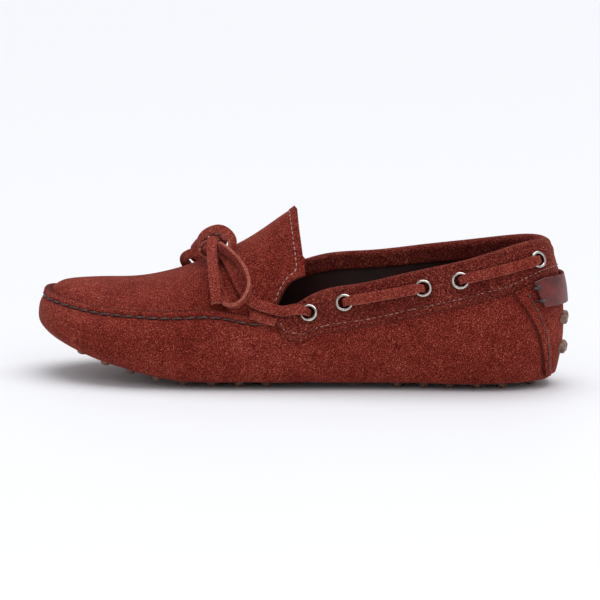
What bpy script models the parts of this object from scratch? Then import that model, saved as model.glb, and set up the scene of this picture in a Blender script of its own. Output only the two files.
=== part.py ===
"""Driving moccasin, left shoe: one suede upper on a studded rubber sole, with its lace and bow.

Metres, +Z up, +X to the toe, +Y to the outer side. The studs stand on z = 0.
The upper is one function of the place round the last and the height above the floor,
and every overlay, hole and eyelet is worked out from that function.
"""

import math

import bpy
import bmesh
import numpy as np
from mathutils import Vector

for old in list(bpy.data.objects):
    bpy.data.objects.remove(old, do_unlink=True)

MM = 0.001

# Driving sizes of the last, in metres
LAST_LENGTH = 0.2775
BALL_WIDTH = 0.0955
HEEL_HEIGHT = 0.0770
INSTEP_HEIGHT = 0.0905
TOE_SPRING = 0.0215
SPRING_START = 0.050
SPRING_POWER = 1.45

# Leather, rubber and clearances
GAP = 0.0003
BAND_GAP = 0.00056
WALL = 0.0018
APRON_WALL = 0.0018
BAND_WALL = 0.0014
PATCH_WALL = 0.0013
STRIP_STEP = 0.0007
TAB_WALL = 0.0016
LIP_HEIGHT = 0.0034
LIP_STEP = 0.0009
LIP_STAND = 0.0013
LIP_FADE = 0.0060
BAND_RUN_IN = 0.0100
BAND_START = 0.0020
PLATE = 0.0018
STUD_HEIGHT = 0.0030
STUD_RADIUS = 0.0027
STUD_PITCH = 0.0140
STUD_MARGIN = 0.0032
INSOLE = 0.0022
PLATE_INSET = 0.0115
INSOLE_INSET = 0.0078
FEATHER_INSET = 0.0200

# Metal and lace
EYELET_RADIUS = 0.00465
EYELET_HOLE = 0.00275
EYELET_BARREL = 0.0005
EYELET_FLANGE = 0.0008
LACE_WIDTH = 0.0053
LACE_THICK = 0.0021
LACE_IN_HOLE = 0.0038
LACE_HOLE_THICK = 0.0016

HALF_LENGTH = LAST_LENGTH / 2
HALF_BALL = BALL_WIDTH / 2
PLATE_TOP = STUD_HEIGHT + PLATE
FEATHER = PLATE_TOP + GAP
EDGE = STUD_HEIGHT + 0.0006
ROLL = WALL / 2 + BAND_GAP + BAND_WALL

# The last, a row for each section round it from the heel's middle by the outer side to the toe
# and back by the inner side. Lengths are shares of half the last, widths of half the ball and
# heights of the heel: the widest line of the upper, then its top edge.
LAST = (
    # wide_x, wide_y, wide_z, top_x, top_y, top_z
    (-0.996, 0.000, 0.46, -0.942, 0.000, 0.990),
    (-0.955, 0.340, 0.44, -0.905, 0.250, 1.000),
    (-0.845, 0.590, 0.39, -0.806, 0.430, 0.962),
    (-0.655, 0.700, 0.36, -0.645, 0.545, 0.876),
    (-0.440, 0.735, 0.34, -0.440, 0.610, 0.792),
    (-0.245, 0.785, 0.31, -0.255, 0.665, 0.716),
    (-0.080, 0.850, 0.28, -0.088, 0.705, 0.640),
    (0.055, 0.915, 0.265, 0.052, 0.745, 0.492),
    (0.230, 0.978, 0.255, 0.230, 0.795, 0.520),
    (0.415, 0.998, 0.255, 0.408, 0.800, 0.513),
    (0.605, 0.950, 0.270, 0.585, 0.720, 0.508),
    (0.755, 0.815, 0.300, 0.727, 0.600, 0.516),
    (0.880, 0.600, 0.350, 0.845, 0.425, 0.543),
    (0.968, 0.290, 0.400, 0.930, 0.215, 0.570),
    (1.004, -0.060, 0.422, 0.968, -0.050, 0.590),
    (0.970, -0.400, 0.402, 0.932, -0.315, 0.575),
    (0.872, -0.690, 0.350, 0.838, -0.520, 0.545),
    (0.715, -0.890, 0.318, 0.700, -0.700, 0.537),
    (0.545, -0.980, 0.305, 0.543, -0.775, 0.556),
    (0.372, -0.940, 0.310, 0.372, -0.765, 0.612),
    (0.215, -0.830, 0.330, 0.220, -0.700, 0.640),
    (0.070, -0.715, 0.355, 0.070, -0.665, 0.715),
    (-0.085, -0.645, 0.390, -0.085, -0.655, 0.802),
    (-0.250, -0.615, 0.410, -0.255, -0.630, 0.834),
    (-0.440, -0.630, 0.415, -0.440, -0.590, 0.880),
    (-0.655, -0.665, 0.415, -0.645, -0.525, 0.934),
    (-0.845, -0.575, 0.430, -0.806, -0.415, 0.980),
    (-0.955, -0.335, 0.450, -0.905, -0.245, 0.998),
)
ROUND = 62
# Where round the last the seam ends and the collar band begins, as lengths of half the last.
SEAM_END_OUTER = 0.060
SEAM_END_INNER = 0.180

# How far each rail of the turned under bottom lies inside the widest line, and its height over
# the ground line.
BOTTOM = (
    # inset, height
    (FEATHER_INSET, FEATHER),
    (PLATE_INSET - 0.0004, FEATHER),
    (0.0096, FEATHER - 0.0008),
    (0.0060, EDGE),
)
SHOULDER_INSET = 0.0022
SHOULDER_SHARE = 0.28
RAIL_KNOTS = (0.0, 7.6, 10.6, 14.6, 22.0, 36.0, 41.0, 47.0, 53.0, 58.0)
LEAN_OUT = 0.45
LEAN_DOWN = 0.32
RISE_UP = 0.50


def material(name, colour, roughness, metallic=0.0):
    made = bpy.data.materials.new(name)
    made.use_nodes = True
    shader = made.node_tree.nodes["Principled BSDF"]
    shader.inputs["Base Color"].default_value = (*colour, 1.0)
    shader.inputs["Roughness"].default_value = roughness
    shader.inputs["Metallic"].default_value = metallic
    return made


SUEDE = material("brick red suede", (0.30, 0.060, 0.045), 0.95)
LACE = material("suede lace", (0.30, 0.065, 0.050), 0.90)
LINING = material("brown calf lining", (0.13, 0.040, 0.025), 0.60)
RUBBER = material("smoked rubber", (0.16, 0.12, 0.10), 0.55)
NICKEL = material("nickel", (0.62, 0.61, 0.58), 0.28, 1.0)


def spline(knots, values, at, period=None):
    """Natural cubic spline through values at the knots, or a closed one with that period."""
    knots, values, at = (np.asarray(a, float) for a in (knots, values, at))
    if period:
        at = np.mod(at - knots[0], period) + knots[0]
        knots = np.append(knots, knots[0] + period)
        values = np.concatenate([values, values[:1]])
    count = len(knots)
    step = np.diff(knots)
    slope = np.diff(values, axis=0) / step.reshape(-1, *([1] * (values.ndim - 1)))
    matrix, right = np.zeros((count, count)), np.zeros(values.shape)
    for i in range(1, count - 1):
        matrix[i, i - 1 : i + 2] = step[i - 1], 2 * (step[i - 1] + step[i]), step[i]
        right[i] = 6 * (slope[i] - slope[i - 1])
    if period:
        matrix[0, 0], matrix[0, -1] = 1, -1
        matrix[-1, 0], matrix[-1, 1] = 2 * step[0], step[0]
        matrix[-1, -2], matrix[-1, -1] = step[-1], 2 * step[-1]
        right[-1] = 6 * (slope[0] - slope[-1])
    else:
        matrix[0, 0] = matrix[-1, -1] = 1
    bend = np.linalg.solve(matrix, right.reshape(count, -1)).reshape(values.shape)
    i = np.clip(np.searchsorted(knots, at, side="right") - 1, 0, count - 2)
    shape = (-1, *([1] * (values.ndim - 1)))
    h = step[i].reshape(shape)
    a, b = (knots[i + 1] - at).reshape(shape) / h, (at - knots[i]).reshape(shape) / h
    curved = (a**3 - a) * bend[i] + (b**3 - b) * bend[i + 1]
    return a * values[i] + b * values[i + 1] + curved * h**2 / 6


def ground(x):
    """Height of the stud tips over the floor: flat, then the toe spring."""
    share = np.clip((np.asarray(x) - SPRING_START) / (HALF_LENGTH - SPRING_START), 0, None)
    return TOE_SPRING * share**SPRING_POWER


def smooth_step(value):
    value = np.clip(value, 0, 1)
    return value * value * (3 - 2 * value)


SIZES = np.array([HALF_LENGTH, HALF_BALL, HEEL_HEIGHT] * 2)
SECTIONS = np.array(LAST) * SIZES
CHORDS = np.linalg.norm(np.diff(np.vstack([SECTIONS, SECTIONS[:1]])[:, :2], axis=0), axis=1)
PLACES = np.concatenate([[0], np.cumsum(CHORDS)[:-1]])
AROUND = CHORDS.sum()


def section(s):
    """Widest line and top edge of the last at places s round it, in metres."""
    return spline(PLACES, SECTIONS, s, period=AROUND)


def inward(s):
    """Unit vectors in plan, square to the widest line and towards the foot."""
    ahead, behind = section(s + MM), section(s - MM)
    along = ahead[:, :2] - behind[:, :2]
    along /= np.linalg.norm(along, axis=1)[:, None]
    return np.stack([along[:, 1], -along[:, 0]], axis=1)


def past_seam(s):
    """How far the top edge at places s lies behind the seam's end, in metres."""
    place = section(s)
    end = np.where(place[:, 1] > 0, SEAM_END_OUTER, SEAM_END_INNER) * HALF_LENGTH
    return end - place[:, 3]


def banded(s):
    """1 where the collar band covers the top edge, 0 along the seam, and smooth between."""
    return smooth_step(past_seam(s) / BAND_RUN_IN)


def lipped(s):
    """1 along the seam, falling to 0 before the collar band begins."""
    return smooth_step((-past_seam(s) - LIP_FADE / 4) / LIP_FADE)


def rails(s):
    """Control points of the upper's outer face at places s, from the feather to the top edge."""
    place, toward = section(s), inward(s)
    rows = []

    def rail(inset, height):
        xy = place[:, :2] + toward * inset
        rows.append(np.column_stack([xy, ground(xy[:, 0]) + height]))

    for inset, height in BOTTOM:
        rail(inset, height)
    turn = rows[-1]
    shoulder = place[:, :2] + toward * SHOULDER_INSET
    height = turn[:, 2] + SHOULDER_SHARE * (place[:, 2] - turn[:, 2])
    rows.append(np.column_stack([shoulder, height]))
    wide, top = place[:, :3], place[:, 3:].copy()
    top[:, 2] -= ROLL * banded(s)
    reach = np.linalg.norm(top[:, :2] - wide[:, :2], axis=1)[:, None]
    rise = (top[:, 2] - wide[:, 2])[:, None]
    up = np.array([0, 0, 1.0])
    out = np.column_stack([-toward, np.zeros(len(s))])
    first = wide + up * rise * RISE_UP
    last = top + out * reach * LEAN_OUT - up * rise * LEAN_DOWN
    for t in (0.0, 0.25, 0.5, 0.75, 1.0):
        rows.append(
            (1 - t) ** 3 * wide
            + 3 * (1 - t) ** 2 * t * first
            + 3 * (1 - t) * t**2 * last
            + t**3 * top
        )
    return np.stack(rows)


def outer(s, w):
    """Points of the upper's outer face at places s and shares w of the way from feather to top."""
    knots = np.array(RAIL_KNOTS) / RAIL_KNOTS[-1]
    return np.moveaxis(spline(knots, rails(np.asarray(s, float)), w), 0, 1)


def normals(s, w):
    """Unit normals of the outer face, pointing away from the foot."""
    s, w = np.asarray(s, float), np.asarray(w, float)
    across = outer(s + MM, w) - outer(s - MM, w)
    low, high = np.clip(w - 0.004, 0, 1), np.clip(w + 0.004, 0, 1)
    up = outer(s, high) - outer(s, low)
    found = np.cross(up, across)
    return found / np.linalg.norm(found, axis=2)[:, :, None]


TURN_W = RAIL_KNOTS[3] / RAIL_KNOTS[-1]


def share_at(s, z):
    """Shares w at which the outer face is at heights z, one for each place in s."""
    steps = np.linspace(TURN_W, 1, 80)
    heights = outer(s, steps)[:, :, 2]
    return np.array([np.interp(z[i], heights[i], steps) for i in range(len(s))])


def skin(s, z, offset):
    """Points at places s and heights z, that far outside the upper's outer face."""
    s, z = np.asarray(s, float), np.asarray(z, float)
    w = share_at(s, z)
    points = np.array([outer(s[i : i + 1], w[i : i + 1])[0, 0] for i in range(len(s))])
    facing = np.array([normals(s[i : i + 1], w[i : i + 1])[0, 0] for i in range(len(s))])
    return points + facing * np.asarray(offset, float).reshape(-1, 1), facing


def lines_round(count):
    """Places round the last, closer where it turns or its top edge climbs, the first at the heel."""
    fine = np.linspace(0, AROUND, 1441)
    toward = inward(fine[:-1])
    turn = np.abs(np.arctan2(
        toward[:, 0] * np.roll(toward[:, 1], -1) - toward[:, 1] * np.roll(toward[:, 0], -1),
        (toward * np.roll(toward, -1, axis=0)).sum(1),
    ))
    climb = np.abs(np.diff(section(fine)[:, 5]))
    share = 1 / len(turn) + turn / turn.sum() + climb / climb.sum()
    weight = np.concatenate([[0], np.cumsum(share)])
    return np.interp(np.arange(count) * weight[-1] / count, weight, fine)


PLACED = lines_round(ROUND)


def add_object(name, vertices, faces, finish, smooth_degrees=35):
    mesh = bpy.data.meshes.new(name)
    mesh.from_pydata([tuple(map(float, v)) for v in vertices], [], faces)
    mesh.materials.append(finish)
    mesh.validate()
    body = bmesh.new()
    body.from_mesh(mesh)
    bmesh.ops.remove_doubles(body, verts=body.verts, dist=1e-6)
    bmesh.ops.recalc_face_normals(body, faces=body.faces)
    body.to_mesh(mesh)
    body.free()
    mesh.shade_smooth()
    mesh.set_sharp_from_angle(angle=math.radians(smooth_degrees))
    made = bpy.data.objects.new(name, mesh)
    bpy.context.scene.collection.objects.link(made)
    return made


def slab(name, front, back, finish, closed=False):
    """A sheet with thickness: two grids of points, a face each side and a rim round the edge."""
    rows, columns = front.shape[:2]
    vertices = np.concatenate([front.reshape(-1, 3), back.reshape(-1, 3)])
    faces = []

    def at(side, i, j):
        return side * rows * columns + (i % rows) * columns + j

    last = rows if closed else rows - 1
    for i in range(last):
        for j in range(columns - 1):
            corners = [at(0, i, j), at(0, i + 1, j), at(0, i + 1, j + 1), at(0, i, j + 1)]
            faces.append(corners)
            faces.append([c + rows * columns for c in reversed(corners)])
        for j in (0, columns - 1):
            rim = [at(0, i, j), at(1, i, j), at(1, i + 1, j), at(0, i + 1, j)]
            faces.append(rim if j == 0 else rim[::-1])
    if not closed:
        for i in (0, rows - 1):
            for j in range(columns - 1):
                rim = [at(0, i, j), at(0, i, j + 1), at(1, i, j + 1), at(1, i, j)]
                faces.append(rim if i == 0 else rim[::-1])
    return add_object(name, vertices, faces, finish)


def cut(body, cutter, how="DIFFERENCE", solver="EXACT"):
    """Cuts one solid by another with a Boolean, and removes the cutter."""
    boolean = body.modifiers.new(how.lower(), "BOOLEAN")
    boolean.operation = how
    boolean.solver = solver
    boolean.object = cutter
    bpy.context.view_layer.update()
    evaluated = body.evaluated_get(bpy.context.evaluated_depsgraph_get())
    result = bpy.data.meshes.new_from_object(evaluated)
    body.modifiers.clear()
    body.data = result
    bpy.data.objects.remove(cutter, do_unlink=True)


def prism(outline, low, high):
    """A side view outline, pairs of x and z in metres, carried across the shoe from y low to high."""
    count = len(outline)
    vertices = [(x, y, z) for y in (low, high) for x, z in outline]
    faces = [list(range(count))[::-1], list(range(count, 2 * count))]
    faces += [[i, (i + 1) % count, (i + 1) % count + count, i + count] for i in range(count)]
    return add_object("cutter", vertices, faces, SUEDE)


def turned(profile, place, axis, sides, name, finish):
    """A closed profile of radius and height pairs, turned round the axis at a place."""
    turn = Vector(axis).to_track_quat("Z", "Y").to_matrix()
    vertices, faces, count = [], [], len(profile)
    for k in range(sides):
        angle = 2 * math.pi * k / sides
        for radius, height in profile:
            point = Vector((radius * math.cos(angle), radius * math.sin(angle), height))
            vertices.append(turn @ point + Vector(place))
    for k in range(sides):
        for j in range(count):
            a, b = k * count + j, k * count + (j + 1) % count
            c, d = ((k + 1) % sides) * count + (j + 1) % count, ((k + 1) % sides) * count + j
            faces.append([a, b, c, d])
    return add_object(name, vertices, faces, finish)


def peg(place, axis, base_radius, tip_radius, low, high, sides, name="peg", finish=None):
    """A solid round peg along the axis, from height low to high over a place."""
    turn = Vector(axis).to_track_quat("Z", "Y").to_matrix()
    vertices = []
    for radius, height in ((base_radius, low), (tip_radius, high)):
        for k in range(sides):
            angle = 2 * math.pi * (k + 0.5) / sides
            point = Vector((radius * math.cos(angle), radius * math.sin(angle), height))
            vertices.append(turn @ point + Vector(place))
    faces = [list(range(sides))[::-1], list(range(sides, 2 * sides))]
    faces += [[k, (k + 1) % sides, (k + 1) % sides + sides, k + sides] for k in range(sides)]
    return add_object(name, vertices, faces, finish or RUBBER)


# The upper: shares of the way from feather to top edge, the last three carry the seam's lip
UPPER_ROWS = (0.0, 0.13, 0.19, 0.25, 0.36, 0.52, 0.66, 0.78, 0.89)


def lip_rows(s):
    """Shares w of the lip's foot at places s, its length below the top edge being the lip's height."""
    near = outer(s, np.array([0.95, 1.0]))
    length = np.linalg.norm(near[:, 1] - near[:, 0], axis=1)
    return 1 - 0.05 * LIP_HEIGHT / length


def upper_faces(s, rows):
    """The upper's outer and inner faces, with the seam's lip as a step in the outer one."""
    lip = lipped(s)
    foot = lip_rows(s)
    outside, inside = [], []
    for i, place in enumerate(s):
        w = np.array([*rows, foot[i] - 0.006, foot[i], 1.0])
        stand = np.array([0.0] * (len(rows) + 1) + [LIP_STEP * lip[i]] * 2)
        one = np.array([place])
        points, facing = outer(one, w)[0], normals(one, w)[0]
        outside.append(points + facing * stand[:, None])
        inside.append(points - facing * WALL)
    return np.array(outside), np.array(inside)


def make_upper():
    outside, inside = upper_faces(PLACED, UPPER_ROWS)
    return slab("upper", outside, inside, SUEDE, closed=True)


# The apron's seam rows: how far along the seam from toe to end each line starts on both sides,
# the crown's place and height, and how round the arch is. Then the free lines of the tongue.
APRON_SEAM = (
    # along, crown_x, crown_z, round
    (0.07, 0.945, 0.600, 2.0),
    (0.16, 0.905, 0.638, 2.6),
    (0.26, 0.820, 0.648, 3.0),
    (0.37, 0.710, 0.651, 2.8),
    (0.48, 0.590, 0.672, 2.5),
    (0.59, 0.465, 0.726, 2.3),
    (0.70, 0.350, 0.798, 2.2),
    (0.80, 0.250, 0.880, 2.1),
    (0.90, 0.160, 0.975, 2.0),
    (1.00, 0.085, 1.065, 1.9),
)
TONGUE = (
    # outer x, y, z, inner x, y, z, crown x, y, z, round
    (0.010, 0.610, 0.580, 0.110, -0.600, 0.665, 0.040, -0.01, 0.960, 1.75),
    (-0.058, 0.540, 0.640, 0.050, -0.540, 0.720, 0.008, -0.02, 1.000, 1.55),
)
APRON_LINES = 15
TONGUE_LINES = 4
ACROSS = 11


def apron_edge(along, side):
    """The apron's edge beside the lip's inner face, at shares of the seam from the toe to its end."""
    fine = np.linspace(0, AROUND, 1441)[:-1]
    line = section(fine)
    toe = fine[np.argmax(line[:, 0])]
    end_x = (SEAM_END_OUTER if side > 0 else SEAM_END_INNER) * HALF_LENGTH
    chosen = fine < toe if side > 0 else fine > toe
    order = np.argsort(line[chosen, 3])
    end = np.interp(end_x, line[chosen, 3][order], fine[chosen][order])
    places = toe + (end - toe) * np.asarray(along)
    outside, inside = upper_faces(places, UPPER_ROWS)
    edge = inside[:, -1] + np.column_stack([inward(places) * GAP, np.zeros(len(places))])
    edge[:, 2] = outside[:, -1, 2] - LIP_STAND
    return edge


def apron_grid():
    """Lines across the apron from toe to tongue tip, each an arch between its two edges."""
    table = np.array(APRON_SEAM)
    toe = table[0, 0] * 0.4
    along = np.concatenate([[toe], np.linspace(table[0, 0], 1, APRON_LINES)])
    knots = np.concatenate([[0.0], table[:, 0]])
    tip = apron_edge([0.0], 1)[0]
    first = [tip[0] / HALF_LENGTH, tip[2] / HEEL_HEIGHT, 2.0]
    crowns = spline(knots, np.vstack([first, table[:, 1:]]), along)
    a, b = apron_edge(along, 1), apron_edge(along, -1)
    crown = np.column_stack([crowns[:, 0] * HALF_LENGTH, (a[:, 1] + b[:, 1]) / 2,
                             crowns[:, 1] * HEEL_HEIGHT])
    size = np.array([HALF_LENGTH, HALF_BALL, INSTEP_HEIGHT] * 3)
    free = np.array(TONGUE)
    ends = np.column_stack([free[:, :9] * size, free[:, 9]])
    last = np.concatenate([a[-1], b[-1], crown[-1], crowns[-1:, 2]])
    steps = np.linspace(0, 2, TONGUE_LINES + 1)[1:]
    tongue = spline([0, 1, 2], np.vstack([last, ends]), steps)
    lines = np.vstack([np.column_stack([a, b, crown, crowns[:, 2]]), tongue])
    share = np.linspace(-1, 1, ACROSS)
    grid = []
    for line in lines:
        a, b, crown, power = line[0:3], line[3:6], line[6:9], line[9]
        chord = a * (1 - share[:, None]) / 2 + b * (1 + share[:, None]) / 2
        lift = (1 - np.abs(share) ** power)[:, None]
        grid.append(chord + lift * (crown - (a + b) / 2))
    return np.array(grid)


def grid_normals(grid):
    along = np.gradient(grid, axis=0)
    across = np.gradient(grid, axis=1)
    found = np.cross(across, along)
    return found / np.linalg.norm(found, axis=2)[:, :, None]


def make_apron():
    grid = apron_grid()
    facing = grid_normals(grid)
    if facing[:, :, 2].mean() < 0:
        facing = -facing
    seam = APRON_LINES + 1
    facing[:seam, [0, -1]] = (0, 0, 1)
    facing[0] = (0, 0, 1)
    return slab("apron", grid, grid - facing * APRON_WALL, SUEDE)


# The collar band's depth below the top of the collar, by the length along the last
BAND_DEPTH = (
    # x, outer side, inner side
    (-0.95, 0.225, 0.225),
    (-0.80, 0.290, 0.305),
    (-0.60, 0.290, 0.318),
    (-0.40, 0.292, 0.310),
    (-0.20, 0.286, 0.322),
    (-0.07, 0.280, 0.325),
    (0.005, 0.180, 0.315),
    (0.045, 0.070, 0.295),
    (0.095, 0.050, 0.240),
    (0.145, 0.045, 0.126),
    (0.180, 0.040, 0.055),
)
BAND_INSIDE = 0.0065


def band_depth(s):
    place = section(s)
    table = np.array(BAND_DEPTH)
    outside = np.interp(place[:, 3] / HALF_LENGTH, table[:, 0], table[:, 1])
    inside = np.interp(place[:, 3] / HALF_LENGTH, table[:, 0], table[:, 2])
    return np.where(place[:, 1] > 0, outside, inside) * HEEL_HEIGHT


def band_face(s, offset):
    """A hook over the collar: up the outer face, round the top edge and a little way down inside."""
    rows = []
    depth = band_depth(s)
    for i, place in enumerate(s):
        one = np.array([place])
        top, facing = outer(one, np.array([1.0]))[0, 0], normals(one, np.array([1.0]))[0, 0]
        low = top[2] - max(depth[i] - ROLL, 2 * MM)
        points = [
            skin(one, [low + (top[2] - low) * share], [offset])[0][0]
            for share in (0.0, 0.35, 0.68, 0.94)
        ]
        middle = top - facing * WALL / 2
        up = np.cross(facing, np.append(inward(one)[0][::-1] * (1, -1), 0))
        up = up / np.linalg.norm(up) * np.sign(up[2])
        radius = WALL / 2 + offset
        for angle in (0, 60, 120, 180):
            turn = math.radians(angle)
            points.append(middle + radius * (math.cos(turn) * facing + math.sin(turn) * up))
        for share in (0.5, 1.0):
            down = share * BAND_INSIDE
            at, out = skin(one, [top[2] - down], [0.0])
            points.append(at[0] - out[0] * (WALL + offset))
        rows.append(points)
    return np.array(rows)


def make_band():
    ends = [top_place(SEAM_END_INNER * HALF_LENGTH - BAND_START, -1),
            top_place(SEAM_END_OUTER * HALF_LENGTH - BAND_START, 1)]
    order = np.concatenate([PLACED[PLACED >= ends[0]], PLACED[PLACED <= ends[1]] + AROUND])
    face = band_face(order, BAND_GAP + BAND_WALL)
    back = band_face(order, BAND_GAP)
    return slab("collar_band", face, back, SUEDE)


# The heel patch seen from the side: its front edge, as shares of half the last and heel height
PATCH_EDGE = (
    # x, z
    (-0.815, 0.700),
    (-0.840, 0.640),
    (-0.872, 0.560),
    (-0.900, 0.470),
    (-0.922, 0.370),
    (-0.934, 0.230),
    (-0.938, 0.050),
)
PATCH_TOP = 0.77
PATCH_FOOT = 0.0070
STRIP_WIDTH = 0.0080
# The tab across the patch: its top and low edges at the back and the slant of its front ends
TAB_HEIGHTS = (0.565, 0.745)
TAB_FRONT = (-0.925, -0.885)


def heel_lines(x):
    """Lines round the heel, from the inner side to the outer, as far forward as x."""
    back = section(PLACED)[:, 0] < x
    outside = PLACED[back & (PLACED < AROUND / 2)]
    inside = PLACED[back & (PLACED >= AROUND / 2)] - AROUND
    return np.concatenate([inside, outside])


def heel_shell(name, z_low, z_high, near, far, steps, clear=GAP):
    """A shell round the heel between two distances outside the upper, clear of the band's edge."""
    fronts, backs = [], []
    for place in heel_lines(-0.78 * HALF_LENGTH):
        one = np.array([place % AROUND])
        band_edge = section(one)[0, 5] - band_depth(one)[0] - clear
        heights = np.linspace(z_low, min(z_high, band_edge), steps)
        many = np.repeat(one, steps)
        fronts.append(skin(many, heights, np.full(steps, far))[0])
        backs.append(skin(many, heights, np.full(steps, near))[0])
    return slab(name, np.array(fronts), np.array(backs), SUEDE)


def heel_outline(behind):
    """The patch's side view, its front edge moved back by that much."""
    edge = [(x * HALF_LENGTH - behind, z * HEEL_HEIGHT) for x, z in PATCH_EDGE]
    back = -HALF_LENGTH * 1.2
    return [(edge[0][0], HEEL_HEIGHT), *edge, (back, edge[-1][1]), (back, HEEL_HEIGHT)]


def side_prism(outline):
    return prism(outline, -HALF_BALL, HALF_BALL)


def make_heel():
    """The patch with a raised strip along each front edge, and the tab across its top."""
    top = PATCH_TOP * HEEL_HEIGHT
    low = GAP + PATCH_WALL
    patch = heel_shell("heel_patch", PATCH_FOOT, top, GAP, low, 7)
    cut(patch, side_prism(heel_outline(GAP)), "INTERSECT")
    strip = heel_shell("heel_strip", PATCH_FOOT + GAP, top - GAP, GAP + PATCH_WALL / 2,
                       low + STRIP_STEP, 6, 2 * GAP)
    cut(strip, side_prism(heel_outline(0.0)), "INTERSECT")
    cut(strip, side_prism(heel_outline(STRIP_WIDTH)))
    cut(patch, strip, "UNION")
    near = low + STRIP_STEP + GAP
    heights = [share * HEEL_HEIGHT for share in TAB_HEIGHTS]
    tab = heel_shell("heel_tab", heights[0], heights[1], near, near + TAB_WALL, 3)
    back = -HALF_LENGTH * 1.2
    ends = [(x * HALF_LENGTH, z) for x, z in zip(TAB_FRONT, heights)]
    cut(tab, side_prism([*ends, (back, heights[1]), (back, heights[0])]), "INTERSECT")
    return patch, tab


# Studs on the back of the heel: height over the floor and place to the side
HEEL_STUDS = (
    # z, y
    (0.035, -0.0060),
    (0.035, 0.0060),
    (0.020, -0.0058),
    (0.020, 0.0000),
    (0.020, 0.0058),
)
HEEL_STUD_HEIGHT = 0.0028


def heel_place(y):
    """The place round the heel where the widest line passes y."""
    fine = np.linspace(-AROUND / 10, AROUND / 10, 241)
    return float(np.interp(y, section(fine)[:, 1], fine)) % AROUND


def make_heel_studs():
    for number, (z, y) in enumerate(HEEL_STUDS, 1):
        seat = 2 * GAP + PATCH_WALL
        place, out = skin([heel_place(y)], [z], [seat])
        peg(place[0], out[0], STUD_RADIUS, STUD_RADIUS * 0.9, 0, HEEL_STUD_HEIGHT, 10,
            f"heel_stud_{number}")


# Eyelets: share of half the last along the top edge and depth below the collar's top, as a share
# of the heel height
EYELETS = {
    "outer": ((-0.085, 0.122), (-0.213, 0.118), (-0.500, 0.130), (-0.634, 0.133), (-0.893, 0.134)),
    "inner": ((-0.005, 0.152), (-0.115, 0.155), (-0.421, 0.150), (-0.548, 0.145), (-0.843, 0.136)),
}
EYELET_SIDES = 10


def top_place(x, side):
    """The place round the last where the top edge passes x, on the outer (+1) or inner side."""
    fine = np.linspace(0, AROUND, 1441)[:-1]
    line = section(fine)
    toe = fine[np.argmax(line[:, 0])]
    chosen = fine < toe if side > 0 else fine > toe
    order = np.argsort(line[chosen, 3])
    return float(np.interp(x, line[chosen, 3][order], fine[chosen][order]))


def eyelet_seats(side_name):
    """Place round the last and height of each eyelet on one side, front to back."""
    side = 1 if side_name == "outer" else -1
    seats = []
    for x, depth in EYELETS[side_name]:
        place = top_place(x * HALF_LENGTH, side)
        seats.append((place, section(np.array([place]))[0, 5] - depth * HEEL_HEIGHT))
    return seats


def make_eyelets(upper, band):
    """Flanged rings through the band and the upper, with holes a clearance wider than the barrels."""
    face = BAND_GAP + BAND_WALL
    barrel = EYELET_HOLE + EYELET_BARREL
    depth = GAP + face + WALL + GAP
    profile = (
        (EYELET_HOLE, EYELET_FLANGE * 0.6),
        (EYELET_HOLE + 0.0009, EYELET_FLANGE),
        (EYELET_RADIUS, 0),
        (barrel, 0),
        (barrel, -depth),
        (EYELET_HOLE, -depth),
    )
    for side_name in EYELETS:
        for number, (place, z) in enumerate(eyelet_seats(side_name), 1):
            seat, out = skin([place], [z], [face + GAP])
            turned(profile, seat[0], out[0], EYELET_SIDES, f"eyelet_{side_name}_{number}", NICKEL)
            for body in (upper, band):
                hole = peg(seat[0], out[0], barrel + GAP, barrel + GAP, -3 * depth, depth,
                           EYELET_SIDES)
                cut(body, hole)


def ribbon(name, points, across, widths, thick, finish):
    """A flat lace along a route: its width lies along the given direction at each point."""
    points, across = np.array(points, float), np.array(across, float)
    count = len(points)
    widths = np.broadcast_to(np.asarray(widths, float), count)
    thick = np.broadcast_to(np.asarray(thick, float), count)
    along = np.gradient(points, axis=0)
    along /= np.linalg.norm(along, axis=1)[:, None]
    across = across - (across * along).sum(1)[:, None] * along
    across /= np.linalg.norm(across, axis=1)[:, None]
    up = np.cross(along, across)
    vertices = []
    for a, b in ((-1, -1), (1, -1), (1, 1), (-1, 1)):
        vertices.append(points + across * (a * widths / 2)[:, None] + up * (b * thick / 2)[:, None])
    vertices = np.stack(vertices, axis=1).reshape(-1, 3)
    faces = [[0, 1, 2, 3], [4 * count - 1, 4 * count - 2, 4 * count - 3, 4 * count - 4]]
    for i in range(count - 1):
        for j in range(4):
            k = (j + 1) % 4
            faces.append([4 * i + j, 4 * i + 4 + j, 4 * i + 4 + k, 4 * i + k])
    return add_object(name, vertices, faces, finish, 50)


# How the lace leaves an eyelet: distance from the hole's middle, height over the band's face,
# width and thickness, in metres
LACE_EXIT = (
    # along, height, width, thick
    (0.0000, -0.0036, LACE_IN_HOLE, LACE_HOLE_THICK),
    (0.0000, 0.0002, LACE_IN_HOLE, LACE_HOLE_THICK),
    (0.0006, 0.0019, LACE_IN_HOLE, LACE_HOLE_THICK),
    (0.0022, 0.0029, 0.0044, 0.0018),
    (0.0048, 0.0030, LACE_WIDTH, LACE_THICK),
)
LACE_LIE = 0.0019
BARS = ((2, 3), (4, 5))


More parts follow.
